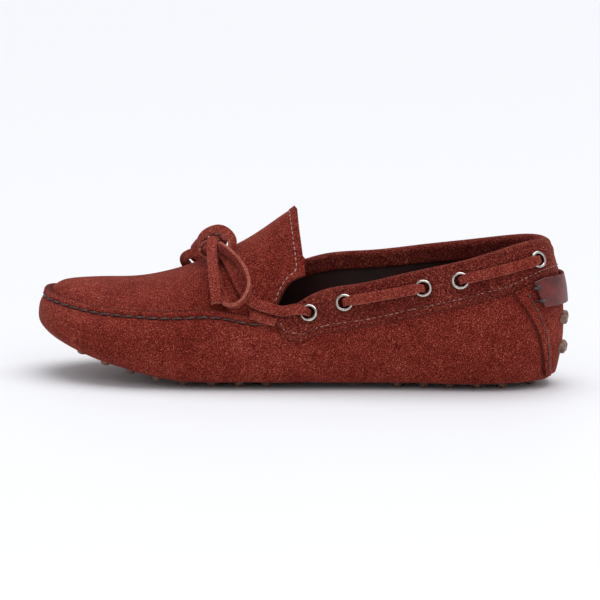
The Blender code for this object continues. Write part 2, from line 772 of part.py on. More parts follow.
def bar_route(first, last, steps=5):
    """Points, width directions, widths and thicknesses of a lace from one eyelet to another."""
    length = np.linalg.norm(skin(*[[v] for v in last], [0])[0] - skin(*[[v] for v in first], [0])[0])
    rows = [(along / length, *rest) for along, *rest in LACE_EXIT]
    middle = [(share, LACE_LIE, LACE_WIDTH, LACE_THICK) for share in np.linspace(0, 1, steps)[1:-1]]
    rows += middle + [(1 - share, *rest) for share, *rest in rows[::-1]]
    table = np.array(rows)
    gap = (last[0] - first[0] + AROUND / 2) % AROUND - AROUND / 2
    places = (first[0] + gap * table[:, 0]) % AROUND
    heights = first[1] + (last[1] - first[1]) * table[:, 0]
    points, facing = skin(places, heights, table[:, 1] + BAND_GAP + BAND_WALL)
    along = points[-1] - points[0]
    return points, np.cross(facing, along), table[:, 2], table[:, 3]


def make_bars():
    for side_name in EYELETS:
        seats = eyelet_seats(side_name)
        for a, b in BARS:
            points, across, widths, thick = bar_route(seats[a - 1], seats[b - 1])
            ribbon(f"lace_bar_{side_name}_{a}", points, across, widths, thick, LACE)


# The bow and the two runs to it: points in millimetres, and the direction the width lies along
BOW = {
    "lace_run_outer": (
        # x, y, z, width direction x, y, z
        (0.5, 39.4, 41.4, -0.1, -0.3, 0.95),
        (10.8, 37.4, 42.8, -0.3, -0.4, 0.86),
        (17.5, 35.4, 44.8, -0.75, -0.3, 0.56),
        (24.3, 30.9, 51.4, -0.88, -0.3, 0.37),
        (30.8, 22.9, 60.4, -0.86, -0.26, 0.43),
        (36.0, 13.7, 65.4, -0.80, -0.36, 0.49),
        (38.4, 9.6, 66.6, -0.80, -0.36, 0.49),
    ),
    "lace_run_inner": (
        (3.0, -38.0, 56.0, -0.5, 0.1, 0.85),
        (9.0, -34.5, 60.5, -0.3, 0.4, 0.85),
        (18.0, -30.5, 61.9, -0.33, 0.42, 0.84),
        (28.0, -27.0, 61.4, -0.18, 0.59, 0.79),
        (37.2, -24.6, 61.6, -0.71, 0.40, 0.58),
        (42.7, -17.8, 64.1, -0.87, 0.21, 0.45),
        (43.8, -9.0, 66.8, -0.91, 0.0, 0.41),
        (44.2, -3.9, 67.6, -0.91, 0.0, 0.41),
    ),
    "bow_ring": (
        (51.6, -1.5, 65.0, 0.0, 1.0, 0.1),
        (52.4, -1.0, 69.0, 0.0, 1.0, 0.0),
        (50.8, 0.0, 73.2, 0.0, 1.0, 0.0),
        (46.6, 1.0, 76.6, 0.0, 1.0, 0.0),
        (41.0, 3.0, 78.2, 0.0, 1.0, 0.0),
        (35.8, 6.0, 76.4, 0.1, 1.0, 0.0),
        (32.8, 9.5, 72.6, 0.2, 1.0, 0.1),
        (33.2, 13.0, 68.4, 0.3, 0.9, 0.2),
    ),
    "bow_end_outer": (
        (42.5, -1.5, 74.0, 1.0, 0.0, 0.0),
        (43.3, 4.0, 73.8, 1.0, 0.0, 0.0),
        (43.4, 9.8, 71.6, 1.0, 0.0, 0.0),
        (42.4, 16.0, 67.4, 1.0, 0.1, 0.0),
        (40.8, 22.5, 62.4, 1.0, 0.1, 0.0),
        (39.2, 29.8, 57.2, 1.0, 0.1, 0.0),
        (37.2, 36.4, 51.2, 1.0, 0.1, 0.0),
        (35.8, 41.2, 45.0, 1.0, 0.1, 0.0),
    ),
    "bow_loop_outer": (
        (38.8, 12.8, 70.4, -0.2, 0.5, 0.8),
        (33.0, 19.6, 68.3, -0.2, 0.5, 0.8),
        (25.0, 27.8, 62.9, -0.1, 0.6, 0.8),
        (20.0, 35.4, 57.2, 0.0, 0.7, 0.7),
        (19.4, 40.4, 50.8, 0.0, 0.8, 0.5),
        (23.2, 43.0, 45.6, 0.1, 0.9, 0.3),
        (28.4, 41.2, 43.6, 0.2, 0.9, 0.3),
        (32.2, 36.4, 45.2, 0.7, 0.6, 0.1),
        (36.4, 30.8, 51.4, 1.0, 0.1, -0.1),
        (39.9, 23.0, 58.2, 1.0, 0.0, -0.2),
        (42.6, 15.4, 62.6, 1.0, -0.1, -0.3),
        (44.3, 10.3, 64.9, 1.0, -0.1, -0.3),
    ),
    "bow_loop_inner": (
        (41.8, -4.8, 72.6, 0.6, -0.4, 0.6),
        (41.0, -12.9, 71.4, 0.5, -0.5, 0.7),
        (43.0, -20.3, 67.9, 0.3, -0.5, 0.8),
        (46.7, -25.0, 62.6, 0.1, -0.6, 0.8),
        (53.0, -28.0, 58.4, 0.0, -0.6, 0.8),
        (58.4, -27.8, 58.2, 0.0, -0.6, 0.8),
        (60.2, -23.4, 61.4, 0.0, -0.5, 0.9),
        (57.2, -17.0, 65.8, 0.2, -0.5, 0.8),
        (52.6, -10.6, 69.8, 0.5, -0.4, 0.7),
        (48.8, -6.0, 71.7, 0.6, -0.4, 0.6),
    ),
    "bow_end_inner": (
        (51.5, -7.0, 64.2, 0.4, -0.6, 0.6),
        (56.4, -8.6, 63.6, 0.3, -0.6, 0.7),
        (60.6, -11.4, 62.0, 0.2, -0.6, 0.7),
        (63.0, -15.9, 59.5, 0.6, -0.3, 0.5),
        (63.4, -21.8, 56.4, 0.9, 0.0, -0.2),
        (63.2, -28.4, 53.2, 1.0, 0.0, -0.2),
    ),
}
KNOT_CENTRE = (44.8, 2.6, 67.4)
KNOT_RADII = (5.0, 5.2, 3.7)
KNOT_SIDES = 10


def make_bow():
    """Each run, loop and end of the lace as a flat strip, and the knot they meet at."""
    for name, rows in BOW.items():
        table = np.array(rows)
        along = np.concatenate([[0], np.cumsum(np.linalg.norm(np.diff(table[:, :3], axis=0), axis=1))])
        count = max(8, round(along[-1] / 4.5))
        fine = spline(along, table, np.linspace(0, along[-1], count))
        points, across = fine[:, :3] * MM, fine[:, 3:]
        widths, thick = LACE_WIDTH, LACE_THICK
        if name.startswith("lace_run"):
            side_name = name.rsplit("_", 1)[1]
            seat = eyelet_seats(side_name)[0]
            exit_rows = np.array(LACE_EXIT)
            length = float(np.linalg.norm(points[0] - skin([seat[0]], [seat[1]], [0])[0][0]))
            ahead = top_place(points[0][0], 1 if points[0][1] > 0 else -1)
            turn = (ahead - seat[0]) / length
            places = seat[0] + turn * exit_rows[:, 0]
            rise = (points[0][2] - seat[1]) / length
            heights = seat[1] + rise * exit_rows[:, 0]
            start, facing = skin(places, heights, exit_rows[:, 1] + BAND_GAP + BAND_WALL)
            run = points[0] - start[0]
            across = np.vstack([np.cross(facing, run) * np.sign(np.cross(facing, run)[:, 2:]), across])
            points = np.vstack([start, points])
            widths = np.concatenate([exit_rows[:, 2], np.full(count, LACE_WIDTH)])
            thick = np.concatenate([exit_rows[:, 3], np.full(count, LACE_THICK)])
        ribbon(name, points, across, widths, thick, LACE)
    knot = bmesh.new()
    bmesh.ops.create_uvsphere(knot, u_segments=KNOT_SIDES, v_segments=6, radius=1.0)
    for vertex in knot.verts:
        vertex.co = [(c + r * v) * MM for c, r, v in zip(KNOT_CENTRE, KNOT_RADII, vertex.co)]
    mesh = bpy.data.meshes.new("bow_knot")
    knot.to_mesh(mesh)
    knot.free()
    mesh.materials.append(LACE)
    mesh.shade_smooth()
    made = bpy.data.objects.new("bow_knot", mesh)
    bpy.context.scene.collection.objects.link(made)


# The small tabs over the seam's ends, each from its rear end to its front end: place along the top
# edge and height, as shares of half the last and of the heel height, and the step it lies on
SEAM_TABS = {
    "seam_tab_outer": (1, (0.040, 0.440, BAND_GAP + BAND_WALL), (0.140, 0.490, LIP_STEP)),
    "seam_tab_inner": (-1, (0.060, 0.690, BAND_GAP + BAND_WALL), (0.172, 0.585, BAND_GAP + BAND_WALL)),
}
SEAM_TAB_WIDTH = 0.0046
SEAM_TAB_WALL = 0.0012


def make_seam_tabs():
    for name, (side, rear, front) in SEAM_TABS.items():
        table = np.linspace(rear, front, 5)
        places = [top_place(x, side) for x in table[:, 0] * HALF_LENGTH]
        seats = table[:, 2] + GAP + SEAM_TAB_WALL / 2
        points, facing = skin(places, table[:, 1] * HEEL_HEIGHT, seats)
        across = np.cross(facing, np.gradient(points, axis=0))
        ribbon(name, points, across, SEAM_TAB_WIDTH, SEAM_TAB_WALL, SUEDE)


def half_width(x, side, inset):
    """Half the width, at x, of an outline that lies inset inside the widest line."""
    fine = np.linspace(0, AROUND, 721)[:-1]
    line = section(fine)[:, :2] + inward(fine) * inset
    toe = np.argmax(line[:, 0])
    one_side = line[: toe + 1] if side > 0 else line[toe:]
    order = np.argsort(one_side[:, 0])
    return np.interp(x, one_side[order, 0], one_side[order, 1])


def footbed(name, inset, low, high, finish, stations=24, start=None, end=None):
    """A flat sheet that follows the ground line, with the last's outline drawn in by inset. It runs
    from the heel to the toe, or is cut straight across at start or end."""
    fine = np.linspace(0, AROUND, 721)[:-1]
    line = section(fine)[:, :2] + inward(fine) * inset
    heel = line[:, 0].min() if start is None else start
    toe = line[:, 0].max() if end is None else end
    middle, half = (heel + toe) / 2, (toe - heel) / 2
    round_end = 0.6 / (stations + 0.2)
    first = round_end if start is None else 0.0
    last = 1 - (round_end if end is None else 0.0)
    tops, bottoms = [], []
    for share in np.linspace(first, last, stations):
        x = middle - half * math.cos(math.pi * share)
        a, b = half_width(x, -1, inset), half_width(x, 1, inset)
        tops.append([(x, y, ground(x) + high) for y in (a, b)])
        bottoms.append([(x, y, ground(x) + low) for y in (a, b)])
    return slab(name, np.array(tops), np.array(bottoms), finish)


# Stud zones: heel and forefoot, from x to x as shares of half the last; the two pads meet at the
# waist between them
STUD_ZONES = {"sole_heel": (-0.885, -0.400), "sole_forefoot": (0.085, 0.905)}
SOLE_JOIN = -0.150
STUD_SIDES = 7


def make_sole():
    """The two rubber pads and their studs, square to the ground line and joined to them."""
    for name, (start, end) in STUD_ZONES.items():
        if end < SOLE_JOIN:
            straight = {"stations": 11, "end": SOLE_JOIN * HALF_LENGTH - GAP / 2}
        else:
            straight = {"stations": 16, "start": SOLE_JOIN * HALF_LENGTH + GAP / 2}
        pad = footbed(name, PLATE_INSET, STUD_HEIGHT, PLATE_TOP, RUBBER, **straight)
        joined = bmesh.new()
        length = (end - start) * HALF_LENGTH
        rows = round(length / STUD_PITCH)
        for i in range(rows + 1):
            x = start * HALF_LENGTH + length * i / rows
            inset = PLATE_INSET + STUD_MARGIN
            a, b = half_width(x, -1, inset), half_width(x, 1, inset)
            across = round((b - a) / STUD_PITCH)
            slope = float(ground(x + MM) - ground(x - MM)) / (2 * MM)
            down = Vector((slope, 0, -1)).normalized()
            for j in range(across + 1):
                y = a + (b - a) * (j / across if across else 0.5)
                root = Vector((x, y, float(ground(x)) + STUD_HEIGHT))
                stud = peg(root, down, STUD_RADIUS, STUD_RADIUS * 0.9, -PLATE / 2, STUD_HEIGHT,
                           STUD_SIDES)
                joined.from_mesh(stud.data)
                bpy.data.objects.remove(stud, do_unlink=True)
        mesh = bpy.data.meshes.new("studs")
        joined.to_mesh(mesh)
        joined.free()
        cluster = bpy.data.objects.new("studs", mesh)
        bpy.context.scene.collection.objects.link(cluster)
        cut(pad, cluster, "UNION", "MANIFOLD")


def centre_on_origin():
    """Hangs every piece on one empty that brings the middle of the shoe, less its bow, over the origin."""
    shoe = bpy.data.objects.new("shoe", None)
    bpy.context.scene.collection.objects.link(shoe)
    pieces = [o for o in bpy.data.objects if o.type == "MESH"]
    fixed = [o for o in pieces if not o.name.startswith("bow_")]
    corners = np.array([corner for o in fixed for corner in o.bound_box])
    middle = (corners.min(axis=0) + corners.max(axis=0)) / 2
    shoe.location = (-middle[0], -middle[1], 0)
    for piece in pieces:
        piece.parent = shoe


make_sole()
footbed("insole", INSOLE_INSET, FEATHER + WALL + GAP, FEATHER + WALL + GAP + INSOLE, LINING)
upper = make_upper()
make_apron()
band = make_band()
make_eyelets(upper, band)
make_heel()
make_heel_studs()
make_bars()
make_seam_tabs()
make_bow()
centre_on_origin()
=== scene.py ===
"""Driving moccasin, left shoe: suede upper, studded rubber sole, laced collar and a flat bow.

Metres, +Z up, +X to the toe, +Y to the outer side of the foot. The sections follow the shoe as it
is made: upper, apron, its seams, sole, collar band, eyelets, heel, insole, lace, bow, seam tabs.
"""

import math

import bpy
import numpy as np
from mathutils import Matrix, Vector


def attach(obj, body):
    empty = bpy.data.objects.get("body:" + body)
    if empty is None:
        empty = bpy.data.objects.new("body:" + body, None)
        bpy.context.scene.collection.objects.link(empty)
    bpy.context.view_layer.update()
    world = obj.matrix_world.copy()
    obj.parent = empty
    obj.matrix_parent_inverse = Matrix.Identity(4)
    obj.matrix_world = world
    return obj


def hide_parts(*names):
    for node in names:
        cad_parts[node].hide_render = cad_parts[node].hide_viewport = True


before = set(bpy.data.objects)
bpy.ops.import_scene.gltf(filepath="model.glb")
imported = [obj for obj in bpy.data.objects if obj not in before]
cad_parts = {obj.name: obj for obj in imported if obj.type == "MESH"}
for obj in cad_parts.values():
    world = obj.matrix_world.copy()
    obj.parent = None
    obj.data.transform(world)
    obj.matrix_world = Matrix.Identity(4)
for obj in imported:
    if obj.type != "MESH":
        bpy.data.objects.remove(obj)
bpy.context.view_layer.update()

# UPPER
# One piece of suede wrapped up round the last from below, with a smooth calf lining. Its top edge
# stands up as the lip of the hand sewn seam in front and is covered by the collar band behind.
MM = 0.001
HALF_LENGTH, HALF_BALL, HEEL_HEIGHT = 138.75 * MM, 47.75 * MM, 77.0 * MM
INSTEP_HEIGHT = 90.5 * MM
MIDDLE = np.array([1.73, -0.44, 0.0]) * MM
TOE_SPRING, SPRING_START, SPRING_POWER = 21.5 * MM, 50.0 * MM, 1.45
GAP = 0.3 * MM
WALL = 1.8 * MM
BAND_GAP, BAND_WALL = 0.56 * MM, 1.4 * MM
FEATHER, EDGE = 5.1 * MM, 3.6 * MM
LIP_HEIGHT, LIP_STEP, LIP_STAND, LIP_FADE = 3.4 * MM, 0.9 * MM, 1.3 * MM, 6.0 * MM
SEAM_END = {1: 0.060, -1: 0.180}

# Sections round the last from the heel by the outer side to the toe and back by the inner side, as
# shares of half its length, half the ball's width and the heel's height: widest line, top edge.
LAST = (
    # wide_x, wide_y, wide_z, top_x, top_y, top_z
    (-0.996, 0.000, 0.46, -0.942, 0.000, 0.990),
    (-0.955, 0.340, 0.44, -0.905, 0.250, 1.000),
    (-0.845, 0.590, 0.39, -0.806, 0.430, 0.962),
    (-0.655, 0.700, 0.36, -0.645, 0.545, 0.876),
    (-0.440, 0.735, 0.34, -0.440, 0.610, 0.792),
    (-0.245, 0.785, 0.31, -0.255, 0.665, 0.716),
    (-0.080, 0.850, 0.28, -0.088, 0.705, 0.640),
    (0.055, 0.915, 0.265, 0.052, 0.745, 0.492),
    (0.230, 0.978, 0.255, 0.230, 0.795, 0.520),
    (0.415, 0.998, 0.255, 0.408, 0.800, 0.513),
    (0.605, 0.950, 0.270, 0.585, 0.720, 0.508),
    (0.755, 0.815, 0.300, 0.727, 0.600, 0.516),
    (0.880, 0.600, 0.350, 0.845, 0.425, 0.543),
    (0.968, 0.290, 0.400, 0.930, 0.215, 0.570),
    (1.004, -0.060, 0.422, 0.968, -0.050, 0.590),
    (0.970, -0.400, 0.402, 0.932, -0.315, 0.575),
    (0.872, -0.690, 0.350, 0.838, -0.520, 0.545),
    (0.715, -0.890, 0.318, 0.700, -0.700, 0.537),
    (0.545, -0.980, 0.305, 0.543, -0.775, 0.556),
    (0.372, -0.940, 0.310, 0.372, -0.765, 0.612),
    (0.215, -0.830, 0.330, 0.220, -0.700, 0.640),
    (0.070, -0.715, 0.355, 0.070, -0.665, 0.715),
    (-0.085, -0.645, 0.390, -0.085, -0.655, 0.802),
    (-0.250, -0.615, 0.410, -0.255, -0.630, 0.834),
    (-0.440, -0.630, 0.415, -0.440, -0.590, 0.880),
    (-0.655, -0.665, 0.415, -0.645, -0.525, 0.934),
    (-0.845, -0.575, 0.430, -0.806, -0.415, 0.980),
    (-0.955, -0.335, 0.450, -0.905, -0.245, 0.998),
)
BOTTOM = (
    # inset, height
    (20.0 * MM, FEATHER),
    (11.1 * MM, FEATHER),
    (9.6 * MM, FEATHER - 0.8 * MM),
    (6.0 * MM, EDGE),
)
SHOULDER_INSET, SHOULDER_SHARE = 2.2 * MM, 0.28
RAIL_KNOTS = np.array([0.0, 7.6, 10.6, 14.6, 22.0, 36.0, 41.0, 47.0, 53.0, 58.0]) / 58.0
LEAN_OUT, LEAN_DOWN, RISE_UP = 0.45, 0.32, 0.50
ROLL = WALL / 2 + BAND_GAP + BAND_WALL


def bend_at_knots(knots, values, closed=False):
    """Second derivatives of the cubic spline through values: 0 at open ends, equal at a join."""
    step = np.diff(knots)
    slope = np.diff(values, axis=0) / step.reshape(-1, *([1] * (values.ndim - 1)))
    count = len(knots)
    matrix, right = np.zeros((count, count)), np.zeros(values.shape)
    inner = np.arange(1, count - 1)
    matrix[inner, inner - 1], matrix[inner, inner + 1] = step[:-1], step[1:]
    matrix[inner, inner] = 2 * (step[:-1] + step[1:])
    right[1:-1] = 6 * np.diff(slope, axis=0)
    if closed:
        matrix[0, 0], matrix[0, -1] = 1, -1
        matrix[-1, 0], matrix[-1, 1] = 2 * step[0], step[0]
        matrix[-1, -2], matrix[-1, -1] = step[-1], 2 * step[-1]
        right[-1] = 6 * (slope[0] - slope[-1])
    else:
        matrix[0, 0] = matrix[-1, -1] = 1
    return np.linalg.solve(matrix, right.reshape(count, -1)).reshape(values.shape)


def in_span(knots, values, bend, at, *line):
    """The cubic at places between knots: a, b the shares of a span, plus its bend terms. Where the
    values run along many lines, line says which one each place is on."""
    i = np.clip(np.searchsorted(knots, at, side="right") - 1, 0, len(knots) - 2)
    shape = (*at.shape, *([1] * (values.ndim - 1 - len(line))))
    h = (knots[i + 1] - knots[i]).reshape(shape)
    a, b = (knots[i + 1] - at).reshape(shape) / h, (at - knots[i]).reshape(shape) / h
    before, after = (i, *line), (i + 1, *line)
    curved = (a**3 - a) * bend[before] + (b**3 - b) * bend[after]
    return a * values[before] + b * values[after] + curved * h**2 / 6


def spline(knots, values, at, period=None):
    """Cubic spline through values at the knots, with open ends or joined after a period."""
    knots, values, at = (np.asarray(a, float) for a in (knots, values, at))
    if period:
        at = np.mod(at - knots[0], period) + knots[0]
        knots = np.append(knots, knots[0] + period)
        values = np.concatenate([values, values[:1]])
    return in_span(knots, values, bend_at_knots(knots, values, bool(period)), at)


def ground(x):
    """Height of the stud tips over the floor: flat, then a power curve up to the toe spring."""
    share = np.clip((np.asarray(x) - SPRING_START) / (HALF_LENGTH - SPRING_START), 0, None)
    return TOE_SPRING * share**SPRING_POWER


def ease(value):
    """0 to 1 along the S curve 3t^2 - 2t^3."""
    value = np.clip(value, 0, 1)
    return value * value * (3 - 2 * value)


def unit(vectors):
    """Vectors along the last axis, brought to length 1."""
    return vectors / np.linalg.norm(vectors, axis=-1, keepdims=True)


def bell(distance, width):
    """1 at no distance, falling to 0 both ways: exp(-(distance / width)^2)."""
    return np.exp(-((distance / width) ** 2))


def run_along(points):
    """Length along a path up to each of its points."""
    return np.concatenate([[0], np.cumsum(np.linalg.norm(np.diff(points, axis=0), axis=1))])


sections = np.array(LAST) * np.array([HALF_LENGTH, HALF_BALL, HEEL_HEIGHT] * 2)
*places, AROUND = run_along(np.vstack([sections, sections[:1]])[:, :2])


def section(s):
    """Widest line and top edge of the last at places s round it: a closed cubic spline."""
    return spline(places, sections, s, period=AROUND)


def inward(s):
    """Unit vectors in plan towards the foot: the widest line's direction turned a quarter."""
    along = unit(section(s + MM)[:, :2] - section(s - MM)[:, :2])
    return np.stack([along[:, 1], -along[:, 0]], axis=1)


def past_seam(s):
    """How far the top edge lies behind the seam's end, further forward on the inner side."""
    place = section(s)
    end = np.where(place[:, 1] > 0, SEAM_END[1], SEAM_END[-1]) * HALF_LENGTH
    return end - place[:, 3]


def lipped(s):
    """1 along the seam, eased to 0 just before the collar band begins."""
    return ease((-past_seam(s) - LIP_FADE / 4) / LIP_FADE)


def rails(s):
    """Control points from the feather to the top edge: inset steps, a shoulder, then a cubic Bezier
    from the widest line, straight up, to the top edge, leaning in."""
    place, toward = section(s), inward(s)
    rows = []
    for inset, height in BOTTOM:
        xy = place[:, :2] + toward * inset
        rows.append(np.column_stack([xy, ground(xy[:, 0]) + height]))
    turn = rows[-1]
    shoulder = place[:, :2] + toward * SHOULDER_INSET
    height = turn[:, 2] + SHOULDER_SHARE * (place[:, 2] - turn[:, 2])
    rows.append(np.column_stack([shoulder, height]))
    wide, top = place[:, :3], place[:, 3:].copy()
    top[:, 2] -= ROLL * ease(past_seam(s) / (10 * MM))
    reach = np.linalg.norm(top[:, :2] - wide[:, :2], axis=1)[:, None]
    rise, up = (top[:, 2] - wide[:, 2])[:, None], np.array([0, 0, 1.0])
    out = np.column_stack([-toward, np.zeros(len(s))])
    first = wide + up * rise * RISE_UP
    last = top + out * reach * LEAN_OUT - up * rise * LEAN_DOWN
    for t in (0.0, 0.25, 0.5, 0.75, 1.0):
        q = 1 - t
        rows.append(q**3 * wide + 3 * q * q * t * first + 3 * q * t * t * last + t**3 * top)
    return np.stack(rows)


def face_at(s, w):
    """Points of the outer face at places s (n) and shares w (n by m): each line's rails joined by a
    natural cubic spline, w running from the feather to the top edge."""
    control = rails(s)
    line = np.arange(len(s))[:, None]
    return in_span(RAIL_KNOTS, control, bend_at_knots(RAIL_KNOTS, control), w, line)


def facing_at(s, w):
    """Unit normals of the outer face: cross product of its slopes up and along."""
    across = face_at(s + MM, w) - face_at(s - MM, w)
    up = face_at(s, np.clip(w + 0.004, 0, 1)) - face_at(s, np.clip(w - 0.004, 0, 1))
    return unit(np.cross(up, across))


def top_edge(s):
    """Points of the top edge at places s, and its normals."""
    one = np.ones((len(s), 1))
    return face_at(s, one)[:, 0], facing_at(s, one)[:, 0]


def share_at(s, z):
    """Shares w at which each line s reaches heights z (n by m), between 80 even steps."""
    steps = np.linspace(RAIL_KNOTS[3], 1, 80)
    heights = face_at(s, np.tile(steps, (len(s), 1)))[:, :, 2]
    i = np.clip((heights[:, None, :] < z[:, :, None]).sum(axis=2), 1, 79)
    line = np.arange(len(s))[:, None]
    low, high = heights[line, i - 1], heights[line, i]
    return steps[i - 1] + np.clip((z - low) / (high - low), 0, 1) * (steps[i] - steps[i - 1])


def skin(s, z, offset):
    """Points at places s and heights z (n by m), offset from the outer face, and its normals."""
    w = share_at(s, z)
    facing = facing_at(s, w)
    return face_at(s, w) + facing * np.asarray(offset)[..., None], facing


def skin_line(s, z, offset):
    """One point for each place s, at its height z and that far outside, and its normals."""
    return (found[:, 0] for found in skin(s, np.reshape(z, (-1, 1)), np.reshape(offset, (-1, 1))))


def lines_round(count):
    """Places round the last, closer where the outline turns or its top edge climbs."""
    fine = np.linspace(0, AROUND, 2881)
    toward = inward(fine[:-1])
    ahead = np.roll(toward, -1, axis=0)
    turn = np.abs(np.arctan2(toward[:, 0] * ahead[:, 1] - toward[:, 1] * ahead[:, 0],
                             (toward * ahead).sum(1)))
    climb = np.abs(np.diff(section(fine)[:, 5]))
    steps = 2 / len(turn) + turn / turn.sum() + climb / climb.sum()
    weight = np.concatenate([[0], np.cumsum(steps)])
    return np.interp(np.arange(count) * weight[-1] / count, weight, fine)


def top_place(x, side):
    """Places round the last where the top edge passes x, on the outer (+1) or inner (-1) side."""
    fine = np.linspace(0, AROUND, 2881)[:-1]
    line = section(fine)
    toe = fine[np.argmax(line[:, 0])]
    chosen = fine < toe if side > 0 else fine > toe
    order = np.argsort(line[chosen, 3])
    return np.interp(x, line[chosen, 3][order], fine[chosen][order])


def seam_end(side, behind=0.0):
    """Place round the last of the seam's end on one side, or of a point that far behind it."""
    return float(top_place(SEAM_END[side] * HALF_LENGTH - behind, side))


def share_per_metre(s):
    """Share w to a metre just below the top edge, at places s."""
    ends = face_at(s, np.tile([0.95, 1.0], (len(s), 1)))
    return 0.05 / np.linalg.norm(ends[:, 1] - ends[:, 0], axis=1)


def seam_distance(s):
    """Length along the top edge from the toe to each place s, counted both ways."""
    fine = np.linspace(0, AROUND, 2881)
    run = run_along(section(fine)[:, 3:])
    toe = np.interp(fine[np.argmax(section(fine)[:, 0])], fine, run)
    return np.interp(np.mod(s, AROUND), fine, run) - toe


def linked(name, data, place=(0, 0, 0)):
    """A new object in the scene, at a place."""
    made = bpy.data.objects.new(name, data)
    made.location = place
    bpy.context.scene.collection.objects.link(made)
    return made


def mesh_piece(name, points, face_sets, finishes, finish_of=None, shift=MIDDLE):
    """A mesh object at the origin. Its faces are turned outwards by the sign of its volume, the sum
    of a . (b x c) over fans of triangles."""
    points = np.asarray(points, float) + shift
    corners = np.concatenate([f.ravel() for f in face_sets])
    sizes = np.concatenate([np.full(len(f), f.shape[1]) for f in face_sets])
    fans = [(f[:, 0], f[:, k], f[:, k + 1]) for f in face_sets for k in range(1, f.shape[1] - 1)]
    volume = sum((points[a] * np.cross(points[b], points[c])).sum() for a, b, c in fans)
    if volume < 0:
        corners = np.concatenate([f[:, ::-1].ravel() for f in face_sets])
    mesh = bpy.data.meshes.new(name)
    mesh.vertices.add(len(points))
    mesh.vertices.foreach_set("co", points.ravel())
    mesh.loops.add(len(corners))
    mesh.loops.foreach_set("vertex_index", corners)
    mesh.polygons.add(len(sizes))
    mesh.polygons.foreach_set("loop_start", np.concatenate([[0], np.cumsum(sizes)[:-1]]))
    for finish in finishes:
        mesh.materials.append(finish)
    if finish_of is not None:
        mesh.polygons.foreach_set("material_index", finish_of)
    mesh.update(calc_edges=True)
    mesh.shade_smooth()
    made = linked(name, mesh)
    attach(made, "root")
    return made


def quads_of(rows, columns, closed=(False, False)):
    """Corner numbers of a grid's quads, and the column of each; closed joins last to first."""
    i, j = np.meshgrid(np.arange(rows if closed[0] else rows - 1),
                       np.arange(columns if closed[1] else columns - 1), indexing="ij")
    k, m = (i + 1) % rows, (j + 1) % columns
    quads = np.stack([i * columns + j, k * columns + j, k * columns + m, i * columns + m], axis=-1)
    return quads.reshape(-1, 4), j.ravel()


def shell(name, front, back, finishes, closed=False, bulge=0.25 * MM, shade_columns=0):
    """A sheet with thickness: across the front, round a half round edge, back across the back. The
    finishes are the front's, the back's and the cut edges'. The cut edges' darker finish also takes
    in the front's last few columns, a painted line of shade along that edge. Open ends are closed
    front to back."""
    rows, wide = front.shape[:2]

    def edge(near, far, beside):
        out = near - beside
        out = out / np.maximum(np.linalg.norm(out, axis=1), 1e-9)[:, None] * bulge
        t = np.array([0.2, 0.5, 0.8])[None, :, None]
        return near[:, None] * (1 - t) + far[:, None] * t + out[:, None] * np.sin(math.pi * t)

    first = edge(front[:, -1], back[:, -1], front[:, -2])
    second = edge(front[:, 0], back[:, 0], front[:, 1])[:, ::-1]
    grid = np.concatenate([front, first, back[:, ::-1], second], axis=1)
    columns = grid.shape[1]
    quads, column = quads_of(rows, columns, (closed, True))
    on_back = (column >= wide + 2) & (column < 2 * wide + 3)
    on_edge_or_shade = ((column >= wide - 1 - shade_columns) & (column < wide + 2)) | (column >= 2 * wide + 3)
    sets, finish_of = [quads], [np.where(on_back, 1, 0) + np.where(on_edge_or_shade, 2, 0)]
    if not closed:
        j = np.arange(wide - 1)
        cap = np.stack([j, j + 1, 2 * wide + 1 - j, 2 * wide + 2 - j], axis=-1)
        side = np.array([[wide - 1, wide, wide + 1, wide + 2, wide + 3],
                         [2 * wide + 2, 2 * wide + 3, 2 * wide + 4, 2 * wide + 5, 0]])
        end = (rows - 1) * columns
        for faces in (cap, side):
            sets += [faces, faces[:, ::-1] + end]
            finish_of += [np.full(2 * len(faces), 2)]
    return mesh_piece(name, grid.reshape(-1, 3), sets, finishes, np.concatenate(finish_of))


def hue(code):
    """An sRGB hex colour as linear red, green, blue and alpha."""
    channel = np.array([int(code[i:i + 2], 16) for i in (1, 3, 5)]) / 255
    return (*np.where(channel <= 0.04045, channel / 12.92, ((channel + 0.055) / 1.055) ** 2.4), 1.0)


def fill(node, inputs):
    """Sets a node's inputs to values, or links them to outputs."""
    for key, value in inputs.items():
        if isinstance(value, bpy.types.NodeSocket):
            node.id_data.links.new(value, node.inputs[key])
        else:
            node.inputs[key].default_value = value


def add(tree, kind, inputs=None, **settings):
    """Adds a node with settings of its own, and fills its inputs."""
    made = tree.nodes.new(kind)
    for key, value in settings.items():
        setattr(made, key, value)
    fill(made, inputs or {})
    return made


def noise(tree, place, grain, **inputs):
    """The value of a noise texture with that grain."""
    inputs = {"Vector": place, "Scale": 1 / grain, **inputs}
    return add(tree, "ShaderNodeTexNoise", inputs).outputs["Fac"]


def calc(tree, operation, *terms):
    """The result of a sum on values or outputs."""
    return add(tree, "ShaderNodeMath", dict(enumerate(terms)), operation=operation).outputs[0]


def blank(name):
    """A new material, its node tree and its own shader node."""
    made = bpy.data.materials.new(name)
    made.use_nodes = True
    return made, made.node_tree, made.node_tree.nodes["Principled BSDF"]


def surface(tree, shader, tone, stops, height, relief, rough, strength=1.0):
    """Colours a finish by a tone through a ramp of places and hex colours, and raises it by a
    height through a bump."""
    ramp = add(tree, "ShaderNodeValToRGB", {"Fac": tone})
    elements = ramp.color_ramp.elements
    while len(elements) < len(stops):
        elements.new(0.5)
    for element, (place, code) in zip(elements, stops):
        element.position, element.color = place, hue(code)
    fill(shader, {"Base Color": ramp.outputs["Color"], "Roughness": rough})
    if relief:
        bump = add(tree, "ShaderNodeBump", {"Height": height, "Strength": strength,
                                            "Distance": relief})
        fill(shader, {"Normal": bump.outputs["Normal"]})


